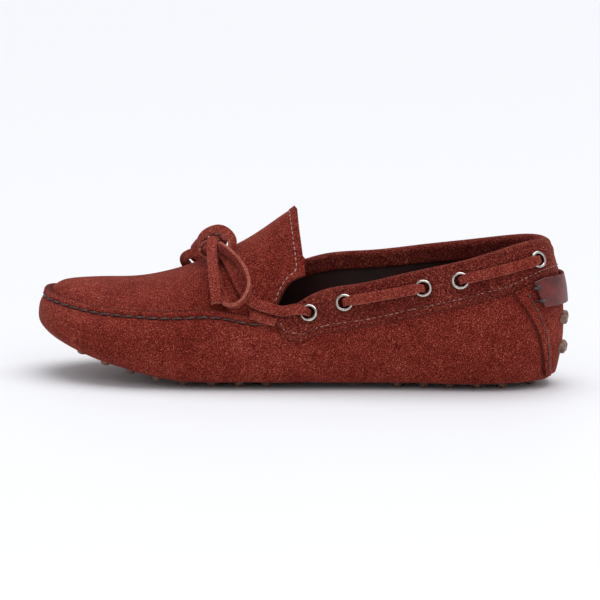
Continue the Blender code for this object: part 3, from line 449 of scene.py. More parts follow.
def suede(name, dark, middle, light, tip, grain=0.52 * MM, drift=34 * MM, relief=0.22 * MM):
    """Split leather with its nap brushed up. Each tuft is about 0.3 mm, drawn 0.5 mm across so that
    it shows; patches of nap lie one way or the other over some 7 mm, and handling darkens areas."""
    made, tree, shader = blank(name)
    place = add(tree, "ShaderNodeTexCoord").outputs["Object"]
    tufts = noise(tree, place, grain, Detail=2.0, Roughness=0.75, Distortion=0.2)
    patches = noise(tree, place, 7 * MM, Detail=3.0, Roughness=0.55)
    areas = noise(tree, place, drift, Detail=2.0)
    lean = calc(tree, "MULTIPLY", calc(tree, "ADD", patches, areas), 0.10)
    mixed = calc(tree, "MULTIPLY_ADD", tufts, 0.90, lean)
    stops = ((0.39, dark), (0.51, middle), (0.63, light), (0.75, tip))
    surface(tree, shader, mixed, stops, tufts, relief, 0.95, 0.9)
    fill(shader, {"Specular IOR Level": 0.10, "Sheen Weight": 0.21, "Sheen Roughness": 0.45,
                  "Sheen Tint": hue("#E59080")})
    return made


def calf(name, dark, light, rough, grain, relief):
    """Finished leather: fine cells of grain pressed between shallow creases, with a soft gloss."""
    made, tree, shader = blank(name)
    place = add(tree, "ShaderNodeTexCoord").outputs["Object"]
    cells = add(tree, "ShaderNodeTexVoronoi", {"Vector": place, "Scale": 1 / grain},
                feature="DISTANCE_TO_EDGE")
    wear = noise(tree, place, 9 * MM, Detail=4.0)
    surface(tree, shader, wear, ((0.32, dark), (0.70, light)), cells.outputs["Distance"], relief,
            rough, 0.8)
    return made


SUEDE = suede("brick red suede", "#2C0806", "#5E1710", "#933629", "#D07E6C")
# Darker suede for the cut edges and backs: the suede's cut edge, darkened further as painted shade
# along edges and gaps.
CUT_EDGE_AND_SHADE = suede("brick red suede, cut edge and painted shade", "#210806", "#43140E", "#692C22", "#8C5044", 0.5 * MM)
LINING = calf("brown calf lining", "#230A06", "#3B140C", 0.55, 1.2 * MM, 0.06 * MM)

STITCH = 6.6 * MM
EYELETS = {
    # x and depth below the top edge from front to rear, on the outer side, then the inner
    1: ((-0.085, 0.122), (-0.213, 0.118), (-0.500, 0.130), (-0.634, 0.133), (-0.893, 0.134)),
    -1: ((-0.005, 0.152), (-0.115, 0.155), (-0.421, 0.150), (-0.548, 0.145), (-0.843, 0.136)),
}
UPPER_LINES = 560
SEAM_GROOVE, STITCH_PULL = 0.65 * MM, 0.16 * MM
LIP_DISTANCES = np.array([9.0, 8.0, 7.2, 6.4, 5.8, 5.3, 4.9, 4.6, 4.3, 4.1, 3.9, 3.7, 3.5, 3.3, 3.0,
                          2.5, 1.9, 1.3, 0.8, 0.4, 0.15, 0.0]) * MM


def soft_waves(points, size=0.28 * MM):
    """Slow unevenness of hand lasted leather: three crossed sine waves 30 to 70 mm long."""
    x, y, z = (points[..., i] / MM for i in range(3))
    return size * (np.sin(x / 8.3 + z / 6.1) * 0.4 + np.sin(x / 11.7 - z / 7.9 + y / 9.0) * 0.5
                   + np.sin(x / 5.2 + y / 6.7 + 1.3) * 0.25)


def lip_stand(below, along, lip):
    """How far the seam's lip stands out, by the distance below the top edge: a round step, a groove
    at its foot where the thread pulls, and a small pucker at every stitch."""
    crown = LIP_STEP + 0.40 * MM * np.sin(math.pi * np.clip(below / LIP_HEIGHT, 0, 1))
    body = ease((LIP_HEIGHT + 0.6 * MM - below) / (0.9 * MM))
    groove = SEAM_GROOVE * bell(below - LIP_HEIGHT - 0.9 * MM, 0.75 * MM)
    pull = STITCH_PULL * np.cos(2 * math.pi * along / STITCH)
    pucker = pull * bell(below - LIP_HEIGHT, 2.6 * MM)
    return lip * (crown * body - groove + pucker)


upper_places = lines_round(UPPER_LINES)
per_metre = share_per_metre(upper_places)
rising = np.concatenate([np.linspace(0, 0.28, 12)[:-1], np.linspace(0.28, 1, 40)[:-1]])
shares = np.concatenate([np.outer(1 - per_metre * LIP_DISTANCES[0], rising),
                         1 - np.outer(per_metre, LIP_DISTANCES)], axis=1)
below = (1 - shares) / per_metre[:, None]
along = seam_distance(upper_places)[:, None]
upper_skin, upper_facing = face_at(upper_places, shares), facing_at(upper_places, shares)
stand = lip_stand(below, along, lipped(upper_places)[:, None])
fade = ease(shares / 0.3) * ease((below - 5 * MM) / (12 * MM))
stand = stand + soft_waves(upper_skin) * fade
outside = upper_skin + upper_facing * stand[..., None]
inside = upper_skin - upper_facing * WALL
# The lip's top 0.8 mm takes the darker cut edge finish: a painted line of shade where the lip meets
# the apron.
upper = shell("suede_upper", outside, inside, [SUEDE, LINING, CUT_EDGE_AND_SHADE], closed=True, bulge=0.45 * MM,
              shade_columns=3)
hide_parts("upper")

# APRON AND TONGUE
# One piece of the same suede, laid in from above and sewn to the upper's lip by hand. Past the
# seam's ends it stands free as a tall tongue, peaked in the middle and bound along its free edge.
APRON_SEAM = (
    # along, crown_x, crown_z, round
    (0.07, 0.945, 0.600, 2.0),
    (0.16, 0.905, 0.638, 2.6),
    (0.26, 0.820, 0.648, 3.0),
    (0.37, 0.710, 0.651, 2.8),
    (0.48, 0.590, 0.672, 2.5),
    (0.59, 0.465, 0.726, 2.3),
    (0.70, 0.350, 0.798, 2.2),
    (0.80, 0.250, 0.880, 2.1),
    (0.90, 0.160, 0.975, 2.0),
    (1.00, 0.085, 1.065, 1.9),
)
TONGUE = (
    # outer x, y, z, inner x, y, z, crown x, y, z, round
    (0.010, 0.610, 0.580, 0.110, -0.600, 0.665, 0.040, -0.01, 0.960, 1.75),
    (-0.058, 0.540, 0.640, 0.050, -0.540, 0.720, 0.008, -0.02, 1.000, 1.55),
)
APRON_LINES, TONGUE_LINES, ACROSS = 170, 64, 121
BINDING, BINDING_STEP, BINDING_GROOVE = 3.9 * MM, 0.40 * MM, 0.30 * MM


def apron_edge(along, side):
    """The apron's edge beside the lip's inner face, at shares of the seam from toe to end."""
    fine = np.linspace(0, AROUND, 1441)[:-1]
    toe = fine[np.argmax(section(fine)[:, 0])]
    at = toe + (seam_end(side) - toe) * np.asarray(along)
    top, facing = top_edge(at)
    edge = top - facing * WALL
    edge[:, :2] += inward(at) * GAP
    edge[:, 2] = (top + facing * LIP_STEP * lipped(at)[:, None])[:, 2] - LIP_STAND
    return edge


def apron_grid():
    """Lines from toe to tongue tip: on each the chord between its two edges, lifted to the crown by
    1 - |share| to a power, which makes the arch rounder or more peaked."""
    table = np.array(APRON_SEAM)
    along = np.linspace(0.4 * table[0, 0], 1, APRON_LINES)
    knots = np.concatenate([[0.0], table[:, 0]])
    tip = apron_edge([0.0], 1)[0]
    first = [tip[0] / HALF_LENGTH, tip[2] / HEEL_HEIGHT, 2.0]
    crowns = spline(knots, np.vstack([first, table[:, 1:]]), along)
    a, b = apron_edge(along, 1), apron_edge(along, -1)
    crown = np.column_stack([crowns[:, 0] * HALF_LENGTH, (a[:, 1] + b[:, 1]) / 2,
                             crowns[:, 1] * HEEL_HEIGHT])
    free = np.array(TONGUE)
    ends = np.column_stack([free[:, :9] * np.array([HALF_LENGTH, HALF_BALL, INSTEP_HEIGHT] * 3),
                            free[:, 9]])
    last = np.concatenate([a[-1], b[-1], crown[-1], crowns[-1:, 2]])
    tongue = spline([0, 1, 2], np.vstack([last, ends]), np.linspace(0, 2, TONGUE_LINES + 1)[1:])
    lines = np.vstack([np.column_stack([a, b, crown, crowns[:, 2]]), tongue])
    share = np.linspace(-1, 1, ACROSS)[None, :, None]
    a, b, crown, power = (lines[:, None, :3], lines[:, None, 3:6], lines[:, None, 6:9],
                          lines[:, None, 9:])
    arch = (1 - np.abs(share) ** power) * (crown - (a + b) / 2)
    return a * (1 - share) / 2 + b * (1 + share) / 2 + arch


def grid_facing(grid):
    """Unit normals of a grid, the cross product of its two slopes, turned to point up."""
    found = unit(np.cross(np.gradient(grid, axis=1), np.gradient(grid, axis=0)))
    return found if found[:, :, 2].mean() > 0 else -found


apron_face = apron_grid()
apron_facing = grid_facing(apron_face)
apron_facing[:APRON_LINES, [0, -1]] = (0, 0, 1)
apron_facing[0] = (0, 0, 1)
steps_across = np.linalg.norm(np.diff(apron_face, axis=1), axis=2)
from_left = np.pad(np.cumsum(steps_across, axis=1), ((0, 0), (1, 0)))
from_side = np.minimum(from_left, from_left[:, -1:] - from_left)
steps_along = np.linalg.norm(np.diff(apron_face, axis=0), axis=2)
to_rear = np.pad(np.cumsum(steps_along[::-1], axis=0)[::-1], ((0, 1), (0, 0)))
seam_run = np.pad(np.cumsum(steps_along, axis=0), ((1, 0), (0, 0)))
on_tongue = ease((np.arange(len(apron_face)) - APRON_LINES + 8) / 8)[:, None]
relief = soft_waves(apron_face, 0.35 * MM) * ease(from_side / (10 * MM)) * ease(to_rear / (12 * MM))
gathers = 0.18 * MM * np.cos(2 * math.pi * seam_run / STITCH) * np.exp(-from_side / (4 * MM))
relief += gathers * (1 - on_tongue) * ease(from_side / MM)
to_free = np.minimum(to_rear, from_side + 30 * MM * (1 - on_tongue))
bound = ease((BINDING - to_free) / (0.5 * MM))
relief += BINDING_STEP * bound
relief -= BINDING_GROOVE * bell(to_free - BINDING, 0.5 * MM)
apron_top = apron_face + apron_facing * relief[..., None]
apron = shell("suede_apron", apron_top, apron_face - apron_facing * WALL, [SUEDE, LINING, CUT_EDGE_AND_SHADE])
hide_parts("apron")

# STITCHED SEAMS OF THE APRON
# Thick waxed thread, sewn by hand through upper and apron, shows as a row of dark slanted beads at
# the foot of the lip. A fine light thread runs along the inner edge of the tongue's binding.
def mottled(name, grain, stops, rough, relief=0.0, detail=1.0):
    """A finish whose colour runs between two tones over a grain, and may be raised by it; with its
    grain's value and its shader node."""
    made, tree, shader = blank(name)
    place = add(tree, "ShaderNodeTexCoord").outputs["Object"]
    grains = noise(tree, place, grain, Detail=detail)
    surface(tree, shader, grains, stops, grains, relief, rough)
    return made, grains, shader


# Dark waxed thread; its lighter tone, mottled over the grain, is a painted highlight on the beads.
WAXED_THREAD_AND_HIGHLIGHT = mottled("waxed linen thread, painted highlights", 0.9 * MM, ((0.35, "#170C0B"), (0.75, "#6B504C")), 0.32,
                0.08 * MM, 2.0)[0]
FINE = mottled("polyester sewing thread", 0.5 * MM, ((0.3, "#8E6A62"), (0.7, "#C9AFA6")), 0.6)[0]


def tubes(name, points, finishes, finish_of=None, closed=False):
    """A mesh of many tubes, points by tube, ring and side. Each gets flat ends, or its last ring
    joins its first."""
    count, rings, sides = points.shape[:3]
    quads, _ = quads_of(rings, sides, (closed, True))
    start = (np.arange(count) * rings * sides)[:, None, None]
    sets = [(quads[None] + start).reshape(-1, 4)]
    if not closed:
        cap = np.arange(sides)[None] + start[:, 0]
        sets.append(np.concatenate([cap, cap[:, ::-1] + (rings - 1) * sides]))
    return mesh_piece(name, points.reshape(-1, 3), sets, finishes, finish_of)


def stitches(name, path, out, finish, pitch, share, radius, rise, slant=0.0):
    """Beads of thread along a path, each a circle carried along a shallow arch, rise (1 - 2 t^2),
    its radius r sqrt(1 - 0.9 t^4) with t from -1 to 1, and turned a little by the slant."""
    run = run_along(path)
    count = max(int(run[-1] // pitch), 1)
    t = np.linspace(-1, 1, 9)
    at = ((np.arange(count) + 0.5) * run[-1] / count)[:, None] + t * pitch * share / 2
    centre = np.stack([np.interp(at, run, path[:, i]) for i in range(3)], axis=-1)
    up = unit(np.stack([np.interp(at, run, out[:, i]) for i in range(3)], axis=-1))
    beside = unit(np.cross(up, np.gradient(centre, axis=1)))
    centre = centre + up * (rise * (1 - 2 * t**2))[:, None] + beside * (slant * t)[:, None]
    sides = 8
    angle = 2 * math.pi * np.arange(sides) / sides
    ring = (radius * np.sqrt(1 - 0.9 * t**4))[None, :, None, None]
    circle = (np.cos(angle)[:, None] * beside[:, :, None] + np.sin(angle)[:, None] * up[:, :, None])
    tubes(name, centre[:, :, None] + ring * circle, [finish])


seam_places = np.linspace(seam_end(1) + 5 * MM, seam_end(-1) - 2 * MM, 600)
seam_share = (1 - share_per_metre(seam_places) * (LIP_HEIGHT + 0.75 * MM))[:, None]
seam_out = facing_at(seam_places, seam_share)[:, 0]
seam_path = face_at(seam_places, seam_share)[:, 0] + seam_out * 0.05 * MM
stitches("seam_thread", seam_path, seam_out, WAXED_THREAD_AND_HIGHLIGHT, STITCH, 0.98, 0.50 * MM, 0.34 * MM, 0.22 * MM)

line = (to_rear > BINDING + 0.1 * MM).sum(axis=0)
row = np.arange(APRON_LINES + 2, len(apron_face))
sides = [(from_left[row] < BINDING).sum(axis=1),
         ACROSS - 1 - (from_left[row, -1:] - from_left[row] < BINDING).sum(axis=1)]
(first_row, first), (last_row, last) = ((row[row < line[c]], c[row < line[c]]) for c in sides)
across = np.arange(first[-1] + 1, last[-1])
row = np.concatenate([first_row, line[across], last_row[::-1]])
column = np.concatenate([first, across, last[::-1]])
even = np.ones(9) / 9
tongue_path, tongue_out = (
    np.column_stack([np.convolve(grid[row, column, i], even, "valid") for i in range(3)])
    for grid in (apron_top, apron_facing))
stitches("tongue_thread", tongue_path, tongue_out, FINE, 3.1 * MM, 0.72, 0.30 * MM, 0.16 * MM)

# SOLE
# A thin plate of smoked rubber under the whole foot, moulded in one with soft studs under the heel
# and the forefoot. It is seen from the side as a dark edge with rounded studs below it.
PLATE_INSET, PLATE_LOW, PLATE_TOP = 11.5 * MM, 3.0 * MM, 4.8 * MM
STUD_HEIGHT, STUD_PITCH, STUD_MARGIN = 3.0 * MM, 14.0 * MM, 3.2 * MM
STUD_ZONES = ((-0.885, -0.400), (0.085, 0.905))

RUBBER, _, shader = mottled("smoked rubber", 2.5 * MM, ((0.30, "#5A3F32"), (0.75, "#9C7461")), 0.38,
                            0.10 * MM, 3.0)
fill(shader, {"Subsurface Weight": 0.25, "Subsurface Radius": (2.0 * MM, 1.4 * MM, 1.0 * MM)})


def outline_width(x, side, inset):
    """Half the width at x of the last's widest line drawn in by inset, on one side."""
    fine = np.linspace(0, AROUND, 1441)[:-1]
    line = section(fine)[:, :2] + inward(fine) * inset
    toe = np.argmax(line[:, 0])
    one = line[: toe + 1] if side > 0 else line[toe:]
    order = np.argsort(one[:, 0])
    return np.interp(x, one[order, 0], one[order, 1])


def footbed(name, inset, low, high, finishes, stations=110, across=33):
    """A flat sheet on the ground line. A cosine spaces its stations, so both ends are round."""
    fine = np.linspace(0, AROUND, 1441)[:-1]
    line = section(fine)[:, 0] + inward(fine)[:, 0] * inset
    heel, toe = line.min(), line.max()
    k = np.arange(stations)
    x = (heel + toe) / 2 - (toe - heel) / 2 * np.cos(math.pi * (k + 0.25) / (stations - 0.5))
    a, b = outline_width(x, -1, inset), outline_width(x, 1, inset)
    y = a[:, None] + (b - a)[:, None] * np.linspace(0, 1, across)
    xs = np.repeat(x[:, None], across, axis=1)
    top = np.stack([xs, y, ground(xs) + high], axis=-1)
    return shell(name, top, top - np.array([0, 0, high - low]), finishes, bulge=0.3 * MM)


def pegs(name, bases, axes, profile, sides, finishes, closed=False):
    """Profiles of radius and height turned round many axes at once; open ones get flat ends."""
    bases, axes, profile = (np.asarray(a, float) for a in (bases, axes, profile))
    axes = unit(axes)
    beside = np.where(np.abs(axes[:, :1]) > 0.8, [[0.0, 1.0, 0.0]], [[1.0, 0.0, 0.0]])
    first = unit(np.cross(axes, beside))
    second = np.cross(axes, first)
    angle = 2 * math.pi * np.arange(sides) / sides
    cos, sin = np.cos(angle)[None, :, None], np.sin(angle)[None, :, None]
    circle = cos * first[:, None] + sin * second[:, None]
    points = (bases[:, None, None] + circle[:, None] * profile[None, :, 0, None, None]
              + axes[:, None, None] * profile[None, :, 1, None, None])
    return tubes(name, points, finishes, closed=closed)


plate = footbed("rubber_plate", PLATE_INSET, PLATE_LOW, PLATE_TOP, [RUBBER])
stud_bases, stud_axes = [], []
for start, end in STUD_ZONES:
    rows = round((end - start) * HALF_LENGTH / STUD_PITCH)
    for x in np.linspace(start, end, rows + 1) * HALF_LENGTH:
        a, b = (float(outline_width(x, side, PLATE_INSET + STUD_MARGIN)) for side in (-1, 1))
        across = round((b - a) / STUD_PITCH)
        slope = float(ground(x + MM) - ground(x - MM)) / (2 * MM)
        for y in np.linspace(a, b, across + 1) if across else [(a + b) / 2]:
            stud_bases.append((x, y, float(ground(x)) + STUD_HEIGHT))
            stud_axes.append((slope, 0, -1))
turn = np.radians(np.linspace(0, 80, 6))
STUD_PROFILE = [(2.95 * MM, -0.3 * MM), (2.7 * MM, 0.25 * MM), (2.6 * MM, 1.3 * MM)]
STUD_PROFILE += [((1.2 + 1.35 * math.cos(t)) * MM, (1.7 + 1.32 * math.sin(t)) * MM) for t in turn]
studs = pegs("rubber_studs", stud_bases, stud_axes, STUD_PROFILE, 18, [RUBBER])
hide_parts("sole_heel", "sole_forefoot")

# COLLAR BAND
# A strip of suede folded over the collar's edge, its rolled rim soft and its raw lower edge sewn
# down. The lace runs through it. Its front ends are round and lie over the seam's ends.
BAND_DEPTH = (
    # x, outer side, inner side
    (-0.95, 0.225, 0.225),
    (-0.80, 0.290, 0.305),
    (-0.60, 0.290, 0.318),
    (-0.40, 0.292, 0.310),
    (-0.20, 0.286, 0.322),
    (-0.07, 0.280, 0.325),
    (0.005, 0.180, 0.315),
    (0.045, 0.070, 0.295),
    (0.095, 0.050, 0.240),
    (0.145, 0.045, 0.126),
    (0.180, 0.040, 0.055),
)
BAND_INSIDE, BAND_START, BAND_LEAST, BAND_LINES = 6.5 * MM, 2.0 * MM, 2.0 * MM, 480
STITCH_LINE, STITCH_GROOVE, BAND_RIM, EYELET_DENT = 3.3 * MM, 0.28 * MM, 0.50 * MM, 0.30 * MM
HOLE_RADIUS, HOLE_DEPTH = 3.45 * MM, 3.6 * MM


def band_depth(s):
    """Depth of the band's lower edge below the collar's top, read from the table on each side."""
    place, table = section(s), np.array(BAND_DEPTH)
    outer = np.interp(place[:, 3] / HALF_LENGTH, table[:, 0], table[:, 1])
    inner = np.interp(place[:, 3] / HALF_LENGTH, table[:, 0], table[:, 2])
    return np.where(place[:, 1] > 0, outer, inner) * HEEL_HEIGHT


def band_hang(s):
    """Depth of the band's lower edge below the upper's own top edge, inside the roll."""
    return np.maximum(band_depth(s) - ROLL, BAND_LEAST)


eyelet_seats = {}
for side, rows in EYELETS.items():
    at = np.array([float(top_place(x * HALF_LENGTH, side)) for x, _ in rows])
    eyelet_seats[side] = at, section(at)[:, 5] - np.array([d for _, d in rows]) * HEEL_HEIGHT
BAND_FACE = BAND_GAP + BAND_WALL
eyelet_points, eyelet_axes = (np.concatenate(a) for a in zip(*[
    skin_line(at, z, BAND_FACE + GAP) for at, z in eyelet_seats.values()]))


def band_surface(s, offset, soft=0.0):
    """A hook over the collar: up the outer face from the lower edge, half a circle round the top
    edge, and down inside. Soft adds the stitch line's groove, the rolled rim and eyelet dents."""
    top, facing = top_edge(s)
    low = top[:, 2] - band_hang(s)
    share = np.concatenate([np.linspace(0, 0.3, 13)[:-1], np.linspace(0.3, 0.97, 24)])
    z = low[:, None] + (top[:, 2] - low)[:, None] * share
    above, under = z - low[:, None], top[:, 2:3] - z
    points, out = skin(s, z, offset)
    groove = STITCH_GROOVE * bell(above - STITCH_LINE, 0.55 * MM)
    rim = BAND_RIM * np.sin(math.pi * np.clip(under / (6.5 * MM), 0, 1)) ** 2
    away = np.linalg.norm(points[:, :, None] - eyelet_points, axis=3).min(axis=2)
    dent = EYELET_DENT * bell(away, 6 * MM)
    waves = soft_waves(points, 0.16 * MM) * ease(above / (4 * MM))
    points = points + out * (soft * (rim - groove - dent + waves))[..., None]
    middle = top - facing * WALL / 2
    inwards = inward(s)
    level = np.column_stack([inwards[:, 1], -inwards[:, 0], np.zeros(len(s))])
    up = np.cross(facing, level)
    up *= (np.sign(up[:, 2]) / np.linalg.norm(up, axis=1))[:, None]
    angle = np.radians(np.linspace(0, 180, 11))[None, :, None]
    radius = WALL / 2 + offset + soft * 0.12 * MM
    turned = np.cos(angle) * facing[:, None] + np.sin(angle) * up[:, None]
    over = middle[:, None] + radius * turned
    z = top[:, 2:3] - np.linspace(0.3, 1.0, 5) * BAND_INSIDE
    inner, inner_out = skin(s, z, 0)
    return np.concatenate([points, over, inner - inner_out * (WALL + offset)], axis=1)


band_places = np.linspace(seam_end(-1, BAND_START), seam_end(1, BAND_START) + AROUND, BAND_LINES)
band_top = band_surface(band_places, BAND_FACE, 1.0)
band_back = band_surface(band_places, BAND_GAP)
BAND_SUEDE = suede("brick red suede, collar", "#2A0906", "#531711", "#7D3026", "#B96C5C", 0.7 * MM,
                   26 * MM, 0.30 * MM)
band = shell("suede_collar_band", band_top, band_back, [BAND_SUEDE, BAND_SUEDE, CUT_EDGE_AND_SHADE],
             bulge=0.35 * MM)
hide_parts("collar_band")

holes = pegs("eyelet_holes", eyelet_points, eyelet_axes,
             [(HOLE_RADIUS, -HOLE_DEPTH), (HOLE_RADIUS, 8 * MM)], 32, [BAND_SUEDE])
for body in (upper, band):
    punch = body.modifiers.new("eyelet_holes", "BOOLEAN")
    punch.object, punch.operation, punch.solver = holes, "DIFFERENCE", "EXACT"
    bpy.context.view_layer.update()
    seen = body.evaluated_get(bpy.context.evaluated_depsgraph_get())
    punched = bpy.data.meshes.new_from_object(seen)
    body.modifiers.clear()
    body.data = punched
bpy.data.objects.remove(holes, do_unlink=True)

MUTED = mottled("brick polyester thread", 1.6 * MM, ((0.40, "#5A231B"), (0.66, "#B98073")), 0.6)[0]
depth = band_hang(band_places)
deep = depth > STITCH_LINE + 2.5 * MM
line_z = top_edge(band_places)[0][:, 2] - depth + STITCH_LINE
band_path, band_path_out = skin_line(band_places[deep], line_z[deep], BAND_FACE - 0.20 * MM)
stitches("band_thread", band_path, band_path_out, MUTED, 3.0 * MM, 0.80, 0.30 * MM, 0.18 * MM)

# EYELETS
# Ten eyelets stamped from brass and nickel plated, rolled over the band's face round each hole. The
# plating's tone and gloss vary over a mottled grain.
NICKEL, scuffs, shader = mottled("nickel plated brass", 2.5 * MM,
                                 ((0.3, "#A8A39B"), (0.7, "#D6D2CA")), 0.18, detail=3.0)
gloss = add(NICKEL.node_tree, "ShaderNodeMapRange",
            {"Value": scuffs, "To Min": 0.10, "To Max": 0.26})
fill(shader, {"Roughness": gloss.outputs["Result"], "Metallic": 1.0})
EYELET_PROFILE = np.array([
    # radius, height
    (2.95, -3.4), (2.95, 0.10), (3.03, 0.46), (3.24, 0.78), (3.56, 0.95), (3.90, 0.92),
    (4.22, 0.72), (4.48, 0.40), (4.62, 0.08), (4.58, -0.06), (3.30, -0.06), (3.30, -3.4)]) * MM
numbers = [f"eyelet_{name}_{i}" for name in ("outer", "inner") for i in range(1, 6)]
for number, point, axis in zip(numbers, eyelet_points, eyelet_axes):
    eyelet = pegs(f"nickel_{number}", [point], [axis], EYELET_PROFILE, 48, [NICKEL], closed=True)
    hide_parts(number)

# HEEL PATCH AND TAB
# A patch of suede wraps the heel, its front edges folded under a raised strip that is sewn through
# with dark thread. A tab of pressed calf crosses its top, held by two thick stitches at each end.
PATCH_EDGE = (
    # x, z
    (-0.815, 0.700),
    (-0.840, 0.640),
    (-0.872, 0.560),
    (-0.900, 0.470),
    (-0.922, 0.370),
    (-0.934, 0.230),
    (-0.938, 0.050),
)
PATCH_FOOT, PATCH_WALL, TAB_WALL = 7.0 * MM, 1.3 * MM, 1.6 * MM
STRIP_WIDTH, STRIP_STEP, STRIP_ROUND = 6.0 * MM, 0.7 * MM, 0.45 * MM
TAB_HEIGHTS, TAB_FRONT = (0.565, 0.745), (-0.925, -0.885)


def round_heel(low, high, edge_x, rows, columns):
    """Places and heights on a grid round the heel: rows from low to high or the band's edge,
    columns from where the skin meets edge_x(z) on the inner side to where it does on the outer."""
    fine = np.linspace(-0.2 * AROUND, 0.2 * AROUND, 241)
    band_edge = section(fine)[:, 5] - band_depth(fine) - GAP
    z = low + (np.minimum(high, band_edge) - low)[:, None] * np.linspace(0, 1, rows)
    ahead = skin(fine, z, 0)[0][:, :, 0] - edge_x(z)
    inner, outer = fine < 0, fine > 0
    start = np.array([np.interp(0, ahead[inner, j][::-1], fine[inner][::-1]) for j in range(rows)])
    stop = np.array([np.interp(0, ahead[outer, j], fine[outer]) for j in range(rows)])
    s = start[:, None] + columns * (stop - start)[:, None]
    edge = np.interp(s, fine, band_edge)
    z = low + (np.minimum(high, edge) - low) * np.linspace(0, 1, rows)[:, None]
    return s, z, np.minimum(s - start[:, None], stop[:, None] - s)


def on_heel(s, z, offset):
    """The skin at a whole grid of places and heights, that far outside."""
    points, out = skin(s.ravel(), z.reshape(-1, 1), np.broadcast_to(offset, s.shape).reshape(-1, 1))
    return points.reshape(*s.shape, 3), out.reshape(*s.shape, 3)


edge_table = np.array(PATCH_EDGE)[::-1]
close = np.array([0, 0.3, 0.7, 1.2, 1.9, 2.7, 3.6, 4.5,
                  5.1, 5.6, 6.0, 6.3, 6.6, 7.0, 7.6, 8.4]) / 90
patch_columns = np.concatenate([close, np.linspace(0.11, 0.89, 60), 1 - close[::-1]])
patch_s, patch_z, behind = round_heel(
    PATCH_FOOT, 0.77 * HEEL_HEIGHT,
    lambda z: np.interp(z / HEEL_HEIGHT, edge_table[:, 1], edge_table[:, 0]) * HALF_LENGTH,
    64, patch_columns)
swell = STRIP_ROUND * np.sin(math.pi * np.clip(behind / (0.9 * STRIP_WIDTH), 0, 1))
fold = (STRIP_STEP + swell) * ease((STRIP_WIDTH - behind) / (0.8 * MM))
fold -= STRIP_ROUND * bell(behind - STRIP_WIDTH - 0.2 * MM, 0.6 * MM)
patch_top, patch_out = on_heel(patch_s, patch_z, GAP + PATCH_WALL + fold)
patch_back, _ = on_heel(patch_s, patch_z, GAP)
patch = shell("suede_heel_patch", patch_top, patch_back, [SUEDE, CUT_EDGE_AND_SHADE, CUT_EDGE_AND_SHADE])
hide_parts("heel_patch")
sewn = {"inner": 11, "outer": len(patch_columns) - 12}
for side_name, column in sewn.items():
    stitches(f"patch_thread_{side_name}", patch_top[3:-4, column], patch_out[3:-4, column], WAXED_THREAD_AND_HIGHLIGHT,
             4.2 * MM, 0.88, 0.36 * MM, 0.26 * MM)

PRESSED = calf("pressed red calf", "#4A1310", "#742720", 0.42, 1.5 * MM, 0.25 * MM)
tab_s, tab_z, _ = round_heel(
    TAB_HEIGHTS[0] * HEEL_HEIGHT, TAB_HEIGHTS[1] * HEEL_HEIGHT,
    lambda z: np.interp(z / HEEL_HEIGHT, TAB_HEIGHTS, TAB_FRONT) * HALF_LENGTH, 22,
    np.linspace(0, 1, 90))
tab_near = 2 * GAP + PATCH_WALL + STRIP_STEP
tab_top, tab_out = on_heel(tab_s, tab_z, tab_near + TAB_WALL)
tab_back, _ = on_heel(tab_s, tab_z, tab_near)
tab = shell("calf_heel_tab", tab_top, tab_back, [PRESSED, CUT_EDGE_AND_SHADE, CUT_EDGE_AND_SHADE], bulge=0.35 * MM)
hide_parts("heel_tab")
for side_name, at in {"inner": slice(5, None, -1), "outer": slice(84, 90)}.items():
    for row, label in ((5, "low"), (16, "high")):
        path, out = tab_top[row, at], tab_out[row, at]
        far = path[-1] + (path[-1] - path[0]) * 0.55 - out[-1] * 1.9 * MM
        stitches(f"tab_loop_{side_name}_{label}", np.vstack([path, far]), np.vstack([out, out[-1]]),
                 WAXED_THREAD_AND_HIGHLIGHT, 6.0 * MM, 0.95, 0.95 * MM, 0.5 * MM)

HEEL_STUDS = np.array([
    # z, y
    (35.0, -6.0), (35.0, 6.0), (20.0, -5.8), (20.0, 0.0), (20.0, 5.8)]) * MM
fine = np.linspace(-AROUND / 10, AROUND / 10, 241)
stud_s = np.interp(HEEL_STUDS[:, 1], section(fine)[:, 1], fine)
heel_bases, heel_out = skin_line(stud_s, HEEL_STUDS[:, 0], 2 * GAP + PATCH_WALL)
for i in range(5):
    stud = pegs(f"rubber_heel_stud_{i + 1}", heel_bases[i:i + 1], heel_out[i:i + 1],
                np.array(STUD_PROFILE) * (1, 0.92), 24, [RUBBER])
    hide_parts(f"heel_stud_{i + 1}")

# INSOLE
# A flat footbed of brown calf on thin foam, laid on the turned under edges of the upper.
INSOLE_INSET, INSOLE_LOW, INSOLE_THICK = 7.8 * MM, FEATHER + WALL + GAP, 2.2 * MM
insole = footbed("calf_insole", INSOLE_INSET, INSOLE_LOW, INSOLE_LOW + INSOLE_THICK, [LINING])
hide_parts("insole")

# LACE
# One flat lace cut from suede. It shows as bars between pairs of eyelets, each end turning down
# through its hole, and as a run from each front eyelet up to the knot.
LACE_WIDTH, LACE_THICK = 5.3 * MM, 2.1 * MM
LACE_EXIT = np.array([
    # along, height, width, thick
    (0.0, -2.7, 3.8, 1.6),
    (0.0, 0.2, 3.8, 1.6),
    (0.6, 1.9, 3.8, 1.6),
    (2.2, 2.9, 4.4, 1.8),
    (4.8, 3.0, 5.3, 2.1),
]) * MM
LACE_LIE = 1.9 * MM
LACE = suede("suede lace", "#3E0F0A", "#70251B", "#974236", "#C27565", 0.65 * MM, 20 * MM)
LACE_EDGE = suede("suede lace, cut edge", "#571E16", "#8C4134", "#B36859", "#D69A8B", 0.5 * MM,
                  20 * MM)


